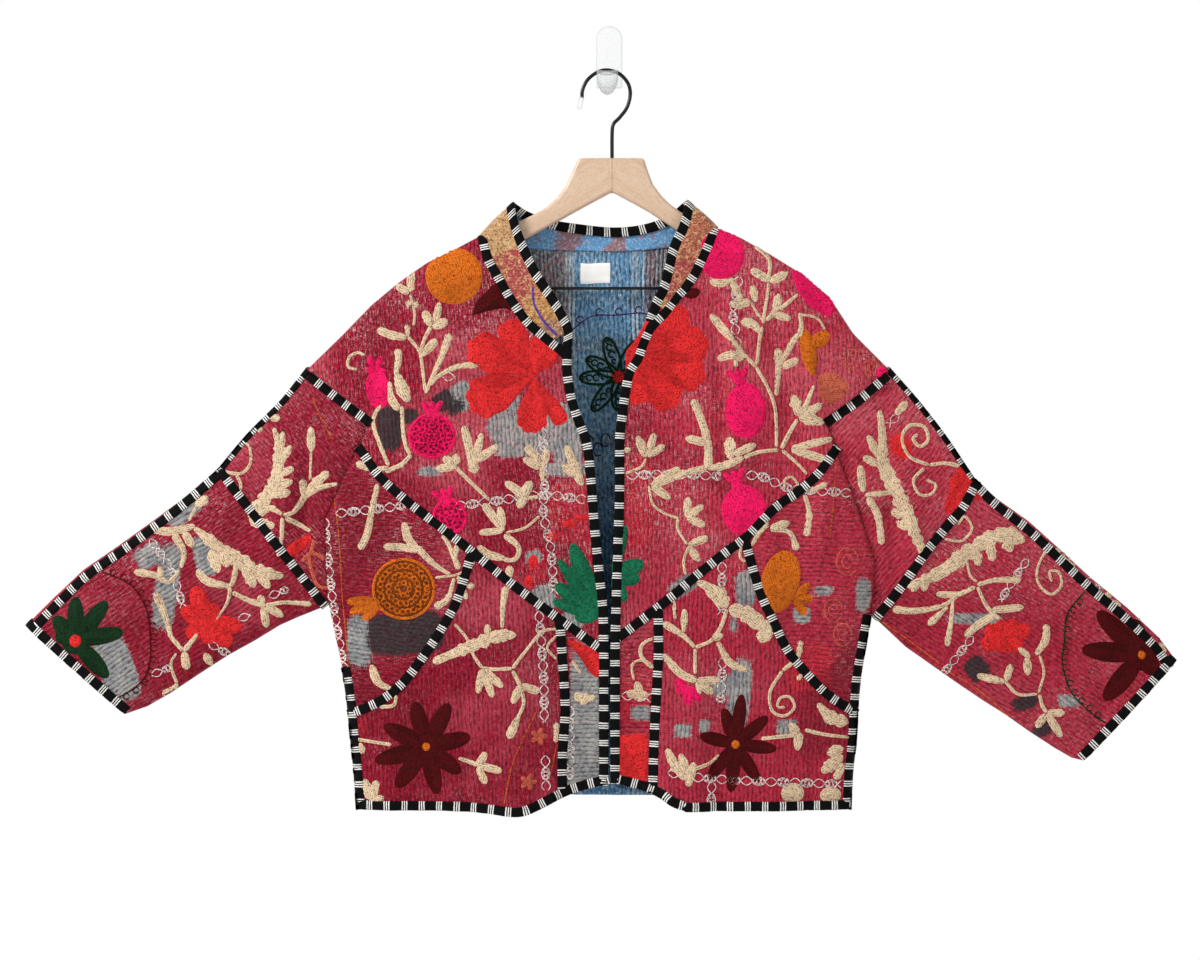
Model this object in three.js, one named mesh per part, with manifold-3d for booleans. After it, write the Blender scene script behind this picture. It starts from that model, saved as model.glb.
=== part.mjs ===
// Kantha jacket on a wooden hanger, hung from a clear wall hook.
// Millimetres, +Z up. The origin is the middle of the hook plate's back face, on the wall plane y = 0.
// The wall is on the +Y side and the jacket's front looks to -Y. +X is the wearer's left.

import * as THREE from 'three';
import { mergeVertices } from 'three/addons/utils/BufferGeometryUtils.js';
import Module from 'manifold-3d';

// Cloth, seams and binding
const CLOTH = 2.0; // quilted layers of old saris, run together
const SEAM_GAP = 0.3; // space between neighbouring pieces
const TAPE_WIDTH = 10; // folded striped binding
const TAPE_PROUD = 0.6; // the binding stands out of the cloth by this much
const TAPE_INSIDE = 2.4; // and reaches this far in from the cloth's face
const MIDDLE_Y = -20; // plane of the hanger, where front and back meet
const ROUNDNESS = 0.3; // how fast a section fills out from its side seams
const HEM_BLEND = 0.8; // how soon the rows above the hem take up its rise

// Sections of the body, from the neck down. Left and right are the ends of each row as seen from the
// front; front and back are how far the cloth stands from the middle plane at the row's middle.
const BODY_ROWS = [
  { leftX: -135, leftZ: -193, rightX: 112, rightZ: -185, front: 18, back: 17 },
  { leftX: -165, leftZ: -209, rightX: 141, rightZ: -197, front: 18, back: 17 },
  { leftX: -196, leftZ: -224, rightX: 173, rightZ: -215, front: 19, back: 17 },
  { leftX: -226, leftZ: -245, rightX: 207, rightZ: -236, front: 20, back: 17 },
  { leftX: -255, leftZ: -269, rightX: 238, rightZ: -263, front: 21, back: 17 },
  { leftX: -287, leftZ: -302, rightX: 262, rightZ: -300, front: 22, back: 17 },
  { leftX: -325, leftZ: -339, rightX: 301, rightZ: -339, front: 23, back: 17 },
  { leftX: -290, leftZ: -365, rightX: 267, rightZ: -366, front: 24, back: 16 },
  { leftX: -256, leftZ: -391, rightX: 231, rightZ: -391, front: 25, back: 16 },
  { leftX: -266, leftZ: -419, rightX: 240, rightZ: -419, front: 26, back: 16 },
  { leftX: -284, leftZ: -455, rightX: 253, rightZ: -455, front: 27, back: 16 },
  { leftX: -303, leftZ: -498, rightX: 269, rightZ: -498, front: 28, back: 16 },
  { leftX: -303, leftZ: -545, rightX: 284, rightZ: -545, front: 29, back: 16 },
  { leftX: -301, leftZ: -591, rightX: 281, rightZ: -601, front: 30, back: 15 },
  { leftX: -294, leftZ: -625, rightX: 275, rightZ: -635, front: 31, back: 15 },
  { leftX: -287, leftZ: -657, rightX: 270, rightZ: -665, front: 32, back: 14 },
  { leftX: -282, leftZ: -689, rightX: 267, rightZ: -695, front: 32, back: 14 },
  { leftX: -278, leftZ: -729, rightX: 265, rightZ: -733, front: 33, back: 13 },
  { leftX: -274, leftZ: -769, rightX: 261, rightZ: -771, front: 33, back: 13 },
  { leftX: -271, leftZ: -809, rightX: 259, rightZ: -809, front: 34, back: 12 },
];
const ARMHOLE_FIRST_ROW = 6; // tip of the dropped shoulder
const ARMHOLE_LAST_ROW = 13; // underarm point
const HEM_FIRST_ROW = 14; // rows from here down bend towards the hem line
const BODY_STEPS = [0, 0.006, 0.025, 0.065, 0.11, 0.155, 0.2, 0.245, 0.29, 0.335, 0.38, 0.425, 0.47, 0.5];
const BACK_STEPS = [0, 0.006, 0.03, 0.1, 0.2, 0.32, 0.5];

// Rise of the front hem over its last row, and of the back hem
const FRONT_HEM = [
  { x: -280, rise: 0 }, { x: -176, rise: 0 }, { x: -134, rise: -2 }, { x: -98, rise: -5 },
  { x: -78, rise: 1 }, { x: -56, rise: 12 }, { x: -32, rise: 21 }, { x: -1, rise: 29 },
  { x: 3, rise: 30 }, { x: 21, rise: 26 }, { x: 41, rise: 20 }, { x: 57, rise: 13 },
  { x: 70, rise: 8 }, { x: 80, rise: 0 }, { x: 260, rise: 0 },
];
const BACK_HEM_RISE = 13;

// Large folds: a soft ridge, or a trough where the height is less than nothing. One that doesn't reach
// the hem dies away at both its ends.
const FRONT_FOLDS = [
  { topX: -112, bottomX: -98, topZ: -520, bottomZ: -800, halfWidth: 26, height: 9, reachesHem: true },
  { topX: -40, bottomX: -28, topZ: -480, bottomZ: -780, halfWidth: 30, height: -7, reachesHem: true },
  { topX: -205, bottomX: -190, topZ: -560, bottomZ: -800, halfWidth: 28, height: -4, reachesHem: true },
  { topX: -140, bottomX: -235, topZ: -270, bottomZ: -480, halfWidth: 24, height: 4, reachesHem: false },
  { topX: 92, bottomX: 84, topZ: -540, bottomZ: -800, halfWidth: 22, height: 9, reachesHem: true },
  { topX: 38, bottomX: 32, topZ: -500, bottomZ: -780, halfWidth: 28, height: -6, reachesHem: true },
  { topX: 140, bottomX: 165, topZ: -250, bottomZ: -700, halfWidth: 24, height: 6, reachesHem: false },
  { topX: 195, bottomX: 210, topZ: -290, bottomZ: -620, halfWidth: 22, height: -5, reachesHem: false },
];
const BACK_FOLDS = [
  { topX: -150, bottomX: -170, topZ: -420, bottomZ: -790, halfWidth: 40, height: -4, reachesHem: true },
  { topX: 10, bottomX: 20, topZ: -380, bottomZ: -790, halfWidth: 44, height: -3, reachesHem: true },
  { topX: 140, bottomX: 165, topZ: -430, bottomZ: -790, halfWidth: 38, height: -4, reachesHem: true },
];

// Rings of the sleeves, from armhole to cuff: a point on the top seam, one on the underarm seam, and
// half the sleeve's thickness
const RIGHT_SLEEVE_RINGS = [
  { topX: -322, topZ: -335, lowX: -300, lowZ: -590, depth: 15 },
  { topX: -350, topZ: -370, lowX: -314, lowZ: -596, depth: 15 },
  { topX: -388, topZ: -408, lowX: -334, lowZ: -604, depth: 15 },
  { topX: -420, topZ: -446, lowX: -354, lowZ: -613, depth: 14 },
  { topX: -455, topZ: -475, lowX: -380, lowZ: -629, depth: 14 },
  { topX: -490, topZ: -501, lowX: -409, lowZ: -645, depth: 13 },
  { topX: -529, topZ: -529, lowX: -440, lowZ: -665, depth: 13 },
  { topX: -564, topZ: -553, lowX: -470, lowZ: -685, depth: 13 },
  { topX: -596, topZ: -583, lowX: -496, lowZ: -700, depth: 13 },
  { topX: -626, topZ: -613, lowX: -519, lowZ: -708, depth: 14 },
];
const LEFT_SLEEVE_RINGS = [
  { topX: 298, topZ: -335, lowX: 280, lowZ: -600, depth: 15 },
  { topX: 330, topZ: -371, lowX: 297, lowZ: -616, depth: 15 },
  { topX: 359, topZ: -408, lowX: 318, lowZ: -636, depth: 15 },
  { topX: 390, topZ: -454, lowX: 345, lowZ: -655, depth: 14 },
  { topX: 416, topZ: -477, lowX: 372, lowZ: -674, depth: 14 },
  { topX: 450, topZ: -501, lowX: 400, lowZ: -693, depth: 14 },
  { topX: 480, topZ: -528, lowX: 424, lowZ: -708, depth: 14 },
  { topX: 517, topZ: -562, lowX: 451, lowZ: -727, depth: 14 },
  { topX: 556, topZ: -594, lowX: 477, lowZ: -744, depth: 14 },
  { topX: 590, topZ: -626, lowX: 496, lowZ: -755, depth: 15 },
  { topX: 608, topZ: -650, lowX: 508, lowZ: -758, depth: 16 },
];
const LAST_UPPER_RING = 3; // where the top seam's binding goes from the thin one to the full one
const THIN_TAPE_HALF = 3; // the upper sleeve's top seam shows only the edge of its binding
const SLEEVE_STEPS = [0, 0.012, 0.07, 0.22, 0.5];
const SLEEVE_TUCK = 9; // the sleeve is first drawn this far into the body, then cut at the armhole
const ARMHOLE_EASE = 4; // rings over which the armhole's bend fades out of the sleeve

// Middle lines of the bindings on the front, [x, z]
const CENTRE_FRONT_RIGHT = [[-45, -317], [-45, -342], [-41, -368], [-35, -388], [-24, -419], [-20, -453],
  [-16, -505], [-11, -556], [-7, -596], [-6, -640], [-6, -700], [-6, -770], [-6, -830]];
const CENTRE_FRONT_LEFT = [[44, -295], [37, -310], [31, -327], [22, -342], [17, -365], [14, -385],
  [11, -414], [11, -465], [9, -531], [7, -596], [6, -650], [6, -700], [6, -770], [6, -830]];
const COLLAR_SEAM_RIGHT = [[-48, -322], [-63, -310], [-75, -300], [-89, -287], [-104, -266], [-118, -242],
  [-130, -220], [-136, -190]];
const COLLAR_SEAM_LEFT = [[43, -296], [51, -287], [60, -278], [70, -264], [80, -253], [90, -239],
  [99, -221], [107, -203], [113, -182]];
const YOKE_RIGHT = [[-275, -412], [-264, -427], [-245, -453], [-220, -476], [-189, -500], [-149, -531],
  [-123, -552], [-98, -572], [-63, -598], [-38, -616], [0, -643]];
const YOKE_LEFT = [[250, -412], [239, -428], [223, -450], [202, -469], [176, -487], [145, -518],
  [125, -533], [96, -556], [70, -578], [41, -601], [0, -632]];
const POCKET_RIGHT = [[-146, -530], [-154, -560], [-162, -585], [-176, -611], [-196, -642], [-220, -673],
  [-247, -694], [-290, -712]];
const POCKET_LEFT = [[144, -518], [152, -549], [161, -578], [174, -606], [189, -637], [210, -663],
  [233, -686], [276, -714]];
const STRIP_RIGHT = [[-53, -600], [-50, -647], [-47, -700], [-50, -751], [-50, -820]];
const STRIP_LEFT = [[52, -590], [52, -647], [49, -700], [47, -751], [46, -820]];
const ELBOW_RIGHT = [[-428, -433], [-413, -452], [-310, -585], [-302, -597]];
const ELBOW_LEFT = [[404, -440], [392, -462], [377, -488], [359, -509], [336, -537], [310, -574],
  [280, -612]];

// Bindings are drawn past the edge of the cloth by these lengths and end where the cloth does
const SHORT_OVERRUN = 6;
const LONG_OVERRUN = 20;
const CENTRE_OVERRUN = 4; // the hem bindings, under the ends of the centre front bindings

// Collar, a tapered standing band round the neck. Each row is a place along it: the seam end and the
// free edge, and how far each stands in front of the middle plane.
const COLLAR_ROWS = [
  { seamX: -53, seamZ: -318, seamOut: 22, edgeX: -41, edgeZ: -317, edgeOut: 23 },
  { seamX: -63, seamZ: -310, seamOut: 22, edgeX: -40, edgeZ: -296, edgeOut: 25 },
  { seamX: -75, seamZ: -300, seamOut: 21.5, edgeX: -49, edgeZ: -276, edgeOut: 25 },
  { seamX: -89, seamZ: -287, seamOut: 21, edgeX: -61, edgeZ: -256, edgeOut: 25 },
  { seamX: -104, seamZ: -266, seamOut: 20, edgeX: -74, edgeZ: -236, edgeOut: 23 },
  { seamX: -118, seamZ: -242, seamOut: 18, edgeX: -86, edgeZ: -212, edgeOut: 19 },
  { seamX: -130, seamZ: -218, seamOut: 15.5, edgeX: -96, edgeZ: -187, edgeOut: 14 },
  { seamX: -135, seamZ: -202, seamOut: 13, edgeX: -101, edgeZ: -169, edgeOut: 11.5 },
  { seamX: -137, seamZ: -194, seamOut: 8.5, edgeX: -102, edgeZ: -161, edgeOut: 7.5 },
  { seamX: -137.5, seamZ: -192, seamOut: 0, edgeX: -102.5, edgeZ: -159, edgeOut: 0 },
  { seamX: -136, seamZ: -193, seamOut: -8.5, edgeX: -101, edgeZ: -160, edgeOut: -8 },
  { seamX: -118, seamZ: -201, seamOut: -12, edgeX: -88, edgeZ: -168, edgeOut: -12 },
  { seamX: -85, seamZ: -206, seamOut: -14.5, edgeX: -66, edgeZ: -176, edgeOut: -16 },
  { seamX: -40, seamZ: -208, seamOut: -16, edgeX: -36, edgeZ: -181, edgeOut: -17.5 },
  { seamX: 6, seamZ: -209, seamOut: -16, edgeX: 4, edgeZ: -185, edgeOut: -17.5 },
  { seamX: 44, seamZ: -207, seamOut: -15, edgeX: 36, edgeZ: -182, edgeOut: -17 },
  { seamX: 86, seamZ: -200, seamOut: -13, edgeX: 62, edgeZ: -173, edgeOut: -13 },
  { seamX: 113, seamZ: -185, seamOut: -8.5, edgeX: 81, edgeZ: -158, edgeOut: -8.5 },
  { seamX: 114.5, seamZ: -184, seamOut: 0, edgeX: 83, edgeZ: -157, edgeOut: 0 },
  { seamX: 114, seamZ: -186, seamOut: 8.5, edgeX: 82, edgeZ: -159, edgeOut: 8.5 },
  { seamX: 112, seamZ: -194, seamOut: 13, edgeX: 80, edgeZ: -169, edgeOut: 12 },
  { seamX: 106, seamZ: -206, seamOut: 15, edgeX: 75, edgeZ: -185, edgeOut: 15 },
  { seamX: 97, seamZ: -226, seamOut: 17.5, edgeX: 65, edgeZ: -207, edgeOut: 19 },
  { seamX: 86, seamZ: -246, seamOut: 19, edgeX: 59, edgeZ: -232, edgeOut: 23 },
  { seamX: 72, seamZ: -262, seamOut: 20, edgeX: 54, edgeZ: -252, edgeOut: 25 },
  { seamX: 60, seamZ: -277, seamOut: 21, edgeX: 46, edgeZ: -268, edgeOut: 25 },
  { seamX: 50, seamZ: -289, seamOut: 21.5, edgeX: 39, edgeZ: -287, edgeOut: 23 },
];
const COLLAR_FIRST_CLOTH_ROW = 1; // the cloth of the collar starts here and the binding runs on alone
const COLLAR_LAST_CLOTH_ROW = 25;
const COLLAR_BACK_ROWS = [9, 18]; // the stretch of it that is sewn to the back
const NECK_DROP = 1.5; // space under the collar's back seam

// Label on the inside of the back
const LABEL = { x: -15, z: -234, width: 32, height: 22, thickness: 0.8 };

// Hanger: a flat wooden body, a wire hook and a trouser bar
const WOOD = { thickness: 11, edgeRound: 4, clearance: 2.9 };
const WOOD_NECK = [[-110, -186], [-100, -181], [-85, -174], [-68, -165], [-56, -154], [-47, -142],
  [-40, -127], [-33, -111.5], [37, -111.5], [42, -127], [47, -140], [56, -152], [65, -161], [76, -169],
  [92, -177]];
const WOOD_LEFT_END = [[212, -244], [219, -251], [224, -259], [222, -267]];
const WOOD_UNDERSIDE = [[206, -270], [186, -255], [74, -190], [40, -168], [3, -148], [-34, -168],
  [-94, -201], [-186, -258], [-206, -272]];
const WOOD_RIGHT_END = [[-224, -268], [-229, -260], [-226, -251], [-219, -244]];
const BAR = { radius: 1.6, z: -251, from: -207, to: 206, hole: 0.3 };
const WIRE_RADIUS = 2;
const WIRE_PATH = [[-29.3, -46.5], [-28.6, -38], [-23, -27], [-12, -18.8], [-1, -17], [11, -21], [20, -31],
  [22.5, -43], [19, -57], [11, -68], [4.5, -75], [3, -86], [3, -111.2]];
const TIP_RADIUS = 2.6;
const TIP_PATH = [[-32.6, -58], [-31, -52.5], [-29.6, -46.9]];

// Clear wall hook: a plate against the wall and a shallow lip under the wire
const PLATE = { halfWidth: 14, top: 33, bottom: -34, thickness: 4 };
const LIP = { x: -2, width: 23, top: 0, bottom: -42 };
const LIP_PROFILE = [[-1, -14], [-5, -14], [-9, -18.5], [-15, -22], [-20, -22.7], [-24, -22], [-26.5, -19.5],
  [-29, -19.5], [-30, -22], [-29, -28], [-25, -34], [-17, -39], [-7, -41], [-1, -42]];

// Colours
const BERRY = 0xa53a58;
const STRIPE = 0x2c2a2b;
const PATCHWORK = 0xb0783f;
const LABEL_WHITE = 0xf2f0ec;
const BEECH = 0xdcb98f;
const WIRE_BLACK = 0x17171a;
const CLEAR = 0xe6ebee;

const library = await Module();
library.setup();

// Solids

function solidFrom(positions, triangles) {
  const mesh = new library.Mesh({ numProp: 3, vertProperties: positions, triVerts: triangles });
  return new library.Manifold(mesh);
}

function solidOf(geometry) {
  const plain = geometry.clone();
  plain.deleteAttribute('normal');
  plain.deleteAttribute('uv');
  const merged = mergeVertices(plain, 1e-4);
  return solidFrom(merged.attributes.position.array, new Uint32Array(merged.index.array));
}

function geometryOf(solid) {
  const mesh = solid.getMesh();
  const geometry = new THREE.BufferGeometry();
  geometry.setAttribute('position', new THREE.BufferAttribute(new Float32Array(mesh.vertProperties), 3));
  geometry.setIndex(new THREE.BufferAttribute(new Uint32Array(mesh.triVerts), 1));
  return geometry;
}

// An outline in x and z, made a solid block between two depths
function block(outline, nearY, farY) {
  const shape = new THREE.Shape(outline.map(([x, z]) => new THREE.Vector2(x, z)));
  const geometry = new THREE.ExtrudeGeometry(shape, { depth: farY - nearY, bevelEnabled: false });
  geometry.rotateX(Math.PI / 2);
  geometry.translate(0, farY, 0);
  return solidOf(geometry);
}

// The line moved to its left by a distance (to its right if less than nothing), corners mitred
function offsetLine(line, distance) {
  return line.map(([x, z], i) => {
    const [beforeX, beforeZ] = line[Math.max(i - 1, 0)];
    const [afterX, afterZ] = line[Math.min(i + 1, line.length - 1)];
    const before = new THREE.Vector2(x - beforeX, z - beforeZ).normalize();
    const after = new THREE.Vector2(afterX - x, afterZ - z).normalize();
    const along = before.clone().add(after).normalize();
    const mitre = Math.max(along.dot(i > 0 ? before : after), 0.4);
    return [x - (along.y * distance) / mitre, z + (along.x * distance) / mitre];
  });
}

function ribbon(line, halfWidth, nearY, farY) {
  return block([...offsetLine(line, halfWidth), ...offsetLine(line, -halfWidth).reverse()], nearY, farY);
}

// Cloth surfaces

const mix = THREE.MathUtils.lerp;

function between(rows, t) {
  const first = THREE.MathUtils.clamp(Math.floor(t), 0, rows.length - 2);
  const row = {};
  for (const column of Object.keys(rows[0])) {
    row[column] = mix(rows[first][column], rows[first + 1][column], t - first);
  }
  return row;
}

function roundOut(s) {
  return Math.max(4 * s * (1 - s), 0) ** ROUNDNESS;
}

function riseAt(x) {
  const last = FRONT_HEM.findIndex((place) => place.x >= x);
  if (last < 1) return 0;
  const part = (x - FRONT_HEM[last - 1].x) / (FRONT_HEM[last].x - FRONT_HEM[last - 1].x);
  return mix(FRONT_HEM[last - 1].rise, FRONT_HEM[last].rise, part);
}

function foldsAt(folds, x, z) {
  let height = 0;
  for (const fold of folds) {
    const along = THREE.MathUtils.clamp((fold.topZ - z) / (fold.topZ - fold.bottomZ), 0, 1);
    const strength = fold.reachesHem ? along * along * (3 - 2 * along) : Math.sin(Math.PI * along);
    const aside = (x - mix(fold.topX, fold.bottomX, along)) / fold.halfWidth;
    height += fold.height * strength * Math.exp(-aside * aside);
  }
  return height;
}

// Half the opening of the armhole at a height: it closes at the shoulder tip and at the underarm
function armholeDepth(z) {
  const top = BODY_ROWS[ARMHOLE_FIRST_ROW].leftZ;
  const low = BODY_ROWS[ARMHOLE_LAST_ROW].leftZ;
  return RIGHT_SLEEVE_RINGS[0].depth * roundOut(THREE.MathUtils.clamp((top - z) / (top - low), 0, 1));
}

function bodySurface(isFront) {
  const folds = isFront ? FRONT_FOLDS : BACK_FOLDS;
  const lastRow = BODY_ROWS.length - 1;
  return (s, t) => {
    const row = between(BODY_ROWS, t);
    const x = mix(row.leftX, row.rightX, s);
    const level = mix(row.leftZ, row.rightZ, s);
    const bend = Math.max(0, (t - HEM_FIRST_ROW) / (lastRow - HEM_FIRST_ROW)) ** (1 / HEM_BLEND);
    const z = level + bend * (isFront ? riseAt(x) : BACK_HEM_RISE);
    const edge = armholeDepth(level);
    const full = isFront ? row.front : row.back;
    const depth = SEAM_GAP / 2 + edge + (full - edge + foldsAt(folds, x, z)) * roundOut(s);
    return new THREE.Vector3(x, MIDDLE_Y + (isFront ? -depth : depth), z);
  };
}

// A sleeve half: s runs from the top seam to the underarm seam, t along the rings. The first rings take
// the armhole's bend.
function sleeveSurface(rings, isFront, tuck) {
  const armhole = BODY_ROWS.slice(ARMHOLE_FIRST_ROW, ARMHOLE_LAST_ROW + 1).map((row) =>
    rings === RIGHT_SLEEVE_RINGS ? [row.leftX, row.leftZ] : [row.rightX, row.rightZ]);
  const armholeX = (z) => {
    const last = armhole.findIndex((place) => place[1] <= z);
    if (last < 1) return armhole[last === 0 ? 0 : armhole.length - 1][0];
    const part = (z - armhole[last - 1][1]) / (armhole[last][1] - armhole[last - 1][1]);
    return mix(armhole[last - 1][0], armhole[last][0], part);
  };
  return (s, t) => {
    const ring = between(rings, t);
    const ease = Math.max(0, 1 - t / ARMHOLE_EASE) ** 2;
    const start = rings[0];
    const bend = armholeX(mix(start.topZ, start.lowZ, s)) - mix(start.topX, start.lowX, s);
    const x = mix(ring.topX, ring.lowX, s) + ease * (bend + tuck);
    const depth = SEAM_GAP / 2 + ring.depth * roundOut(s);
    return new THREE.Vector3(x, MIDDLE_Y + (isFront ? -depth : depth), mix(ring.topZ, ring.lowZ, s));
  };
}

// The collar from row to row, s running over the stretch of its width that from and to give
function collarSurface(from, to) {
  return (s, t) => {
    const row = between(COLLAR_ROWS, t);
    const seam = new THREE.Vector3(row.seamX, MIDDLE_Y - row.seamOut, row.seamZ);
    const edge = new THREE.Vector3(row.edgeX, MIDDLE_Y - row.edgeOut, row.edgeZ);
    const width = seam.distanceTo(edge);
    return seam.lerp(edge, mix(from(width), to(width), s));
  };
}

// A closed wall on a surface, reaching outward and inward from it along its normals. A wall with a side,
// -1 for the front or 1 for the back, stays on its own side of the middle plane.
function wall(surface, sSteps, tSteps, outward, inward, side = 0) {
  const sNudge = 5e-4;
  const tNudge = 0.01;
  const normalAt = (s, t) => {
    const firstS = Math.max(sSteps[0], s - sNudge);
    const lastS = Math.min(sSteps.at(-1), s + sNudge);
    const firstT = Math.max(tSteps[0], t - tNudge);
    const lastT = Math.min(tSteps.at(-1), t + tNudge);
    const across = surface(lastS, t).sub(surface(firstS, t));
    const down = surface(s, lastT).sub(surface(s, firstT));
    return across.cross(down).normalize();
  };
  const middle = normalAt(0.5, tSteps[Math.floor(tSteps.length / 2)]);
  const centre = surface(0.5, tSteps[Math.floor(tSteps.length / 2)]);
  const facing = Math.sign(middle.y * (centre.y - MIDDLE_Y)) || 1;
  const positions = [];
  for (const reach of [outward, -inward]) {
    for (const t of tSteps) {
      for (const s of sSteps) {
        const point = surface(s, t).addScaledVector(normalAt(s, t), facing * reach);
        if (side) point.y = MIDDLE_Y + side * Math.max(side * (point.y - MIDDLE_Y), SEAM_GAP / 2);
        positions.push(point.x, point.y, point.z);
      }
    }
  }
  const columns = sSteps.length;
  const layer = columns * tSteps.length;
  const triangles = [];
  const quad = (a, b, c, d) => triangles.push(a, b, c, a, c, d);
  for (let j = 0; j < tSteps.length - 1; j += 1) {
    for (let i = 0; i < columns - 1; i += 1) {
      const a = j * columns + i;
      quad(a, a + 1, a + 1 + columns, a + columns);
      quad(layer + a, layer + a + columns, layer + a + 1 + columns, layer + a + 1);
    }
    const start = j * columns;
    const end = start + columns - 1;
    quad(start, start + columns, layer + start + columns, layer + start);
    quad(end + columns, end, layer + end, layer + end + columns);
  }
  for (let i = 0; i < columns - 1; i += 1) {
    const low = layer - columns + i;
    quad(i + 1, i, layer + i, layer + i + 1);
    quad(low, low + 1, layer + low + 1, layer + low);
  }
  if (facing < 0) triangles.reverse();
  return solidFrom(new Float32Array(positions), new Uint32Array(triangles));
}

function mirrored(steps) {
  return [...steps, ...steps.slice(0, -1).reverse().map((step) => 1 - step)];
}

function countTo(last) {
  return Array.from({ length: last + 1 }, (_, i) => i);
}

// Assembly

const jacket = new THREE.Group();

function addPiece(name, solid, colour, roughness = 0.9, metalness = 0) {
  const material = new THREE.MeshStandardMaterial({ color: colour, roughness, metalness });
  const mesh = new THREE.Mesh(geometryOf(solid), material);
  mesh.name = name;
  jacket.add(mesh);
}

function largest(solid) {
  return solid.decompose().sort((a, b) => b.volume() - a.volume())[0];
}

function extended(line, by) {
  const end = (tip, inner) => {
    const away = new THREE.Vector2(tip[0] - inner[0], tip[1] - inner[1]).normalize();
    return [tip[0] + away.x * by, tip[1] + away.y * by];
  };
  return [end(line[0], line[1]), ...line, end(line.at(-1), line.at(-2))];
}

const NEAR_Y = -130; // in front of all cloth
const FAR_Y = 8; // behind all cloth
const FRONT_LAYER = [NEAR_Y, MIDDLE_Y];
const BACK_LAYER = [MIDDLE_Y, FAR_Y];

// Cuts the bindings out of a layer one after another, each stopping short of those before it, and gives
// back what the cloth has to leave free.
function bindLayer(tapeLayer, bindings, depths) {
  const taken = [];
  for (const { name, line, halfWidth = TAPE_WIDTH / 2, keepIn, keepClear = [] } of bindings) {
    let tape = tapeLayer.intersect(ribbon(line, halfWidth, ...depths));
    for (const other of [...taken, ...keepClear]) tape = tape.subtract(other);
    if (keepIn) tape = tape.intersect(keepIn);
    addPiece(name, largest(tape), STRIPE, 0.85);
    taken.push(ribbon(line, halfWidth + SEAM_GAP, ...depths));
  }
  return taken;
}

// Names the panels that are left of a layer by the nearest named place
const SMALLEST_PANEL = 60;
function addPanels(layer, places, colour) {
  const panels = layer.decompose().filter((panel) => panel.volume() > SMALLEST_PANEL);
  for (const [name, x, z] of places) {
    const distance = (panel) => {
      const { min, max } = panel.boundingBox();
      return Math.hypot((min[0] + max[0]) / 2 - x, (min[2] + max[2]) / 2 - z);
    };
    panels.sort((a, b) => distance(a) - distance(b));
    addPiece(name, panels[0], colour);
  }
}

// Body

const rowCount = countTo(BODY_ROWS.length - 1);
const frontSurface = bodySurface(true);
const backSurface = bodySurface(false);
const frontCloth = wall(frontSurface, mirrored(BODY_STEPS), rowCount, 0, CLOTH, -1);
const frontTape = wall(frontSurface, mirrored(BODY_STEPS), rowCount, TAPE_PROUD, TAPE_INSIDE, -1);
const backCloth = wall(backSurface, mirrored(BACK_STEPS), rowCount, 0, CLOTH, 1);
const backTape = wall(backSurface, mirrored(BACK_STEPS), rowCount, TAPE_PROUD, TAPE_INSIDE, 1);

const rightEnds = BODY_ROWS.map((row) => [row.leftX, row.leftZ]);
const leftEnds = BODY_ROWS.map((row) => [row.rightX, row.rightZ]);
const lastZ = BODY_ROWS.at(-1).leftZ;
const belowHem = [[leftEnds.at(-1)[0], lastZ - LONG_OVERRUN], [rightEnds.at(-1)[0], lastZ - LONG_OVERRUN]];
const bodyBlock = block([...leftEnds, ...belowHem, ...rightEnds.slice().reverse()], NEAR_Y, FAR_Y);
const clearOfBody = block([...offsetLine(leftEnds, SEAM_GAP), ...belowHem,
  ...offsetLine(rightEnds, -SEAM_GAP).reverse()], NEAR_Y, FAR_Y);

const inset = TAPE_WIDTH / 2;
const hemLine = FRONT_HEM.map((place) => [place.x, lastZ + place.rise + inset]);
const middlePlace = FRONT_HEM.findIndex((place) => place.x > 0);
const hemRight = extended(hemLine.slice(0, middlePlace), CENTRE_OVERRUN);
const hemLeft = extended(hemLine.slice(middlePlace), LONG_OVERRUN);
const sideRight = extended(offsetLine(rightEnds.slice(ARMHOLE_LAST_ROW), inset), LONG_OVERRUN);
const sideLeft = extended(offsetLine(leftEnds.slice(ARMHOLE_LAST_ROW), -inset), LONG_OVERRUN);
const tipRows = [ARMHOLE_FIRST_ROW, ARMHOLE_FIRST_ROW + 3];
const shoulderRight = extended(offsetLine(rightEnds.slice(...tipRows), inset), SHORT_OVERRUN);
const shoulderLeft = extended(offsetLine(leftEnds.slice(...tipRows), -inset), SHORT_OVERRUN);

const collarRowSteps = (first, last) => countTo(last - first).map((i) => first + i);
const collarEnd = COLLAR_ROWS.length - 1;
const tapeStart = (width) => 1 - TAPE_WIDTH / width;
const clothEnd = (width) => 1 - (TAPE_WIDTH + SEAM_GAP) / width;
const collarTape = wall(collarSurface(tapeStart, () => 1), [0, 1], collarRowSteps(0, collarEnd),
  TAPE_PROUD, TAPE_INSIDE);
const pastCollarTape = 0.04;
const clearOfCollarTape = wall(collarSurface(clothEnd, (width) => 1 + SEAM_GAP / width), [0, 1],
  [-pastCollarTape, ...collarRowSteps(0, collarEnd), collarEnd + pastCollarTape], CLOTH * 3, CLOTH * 3);

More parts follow.
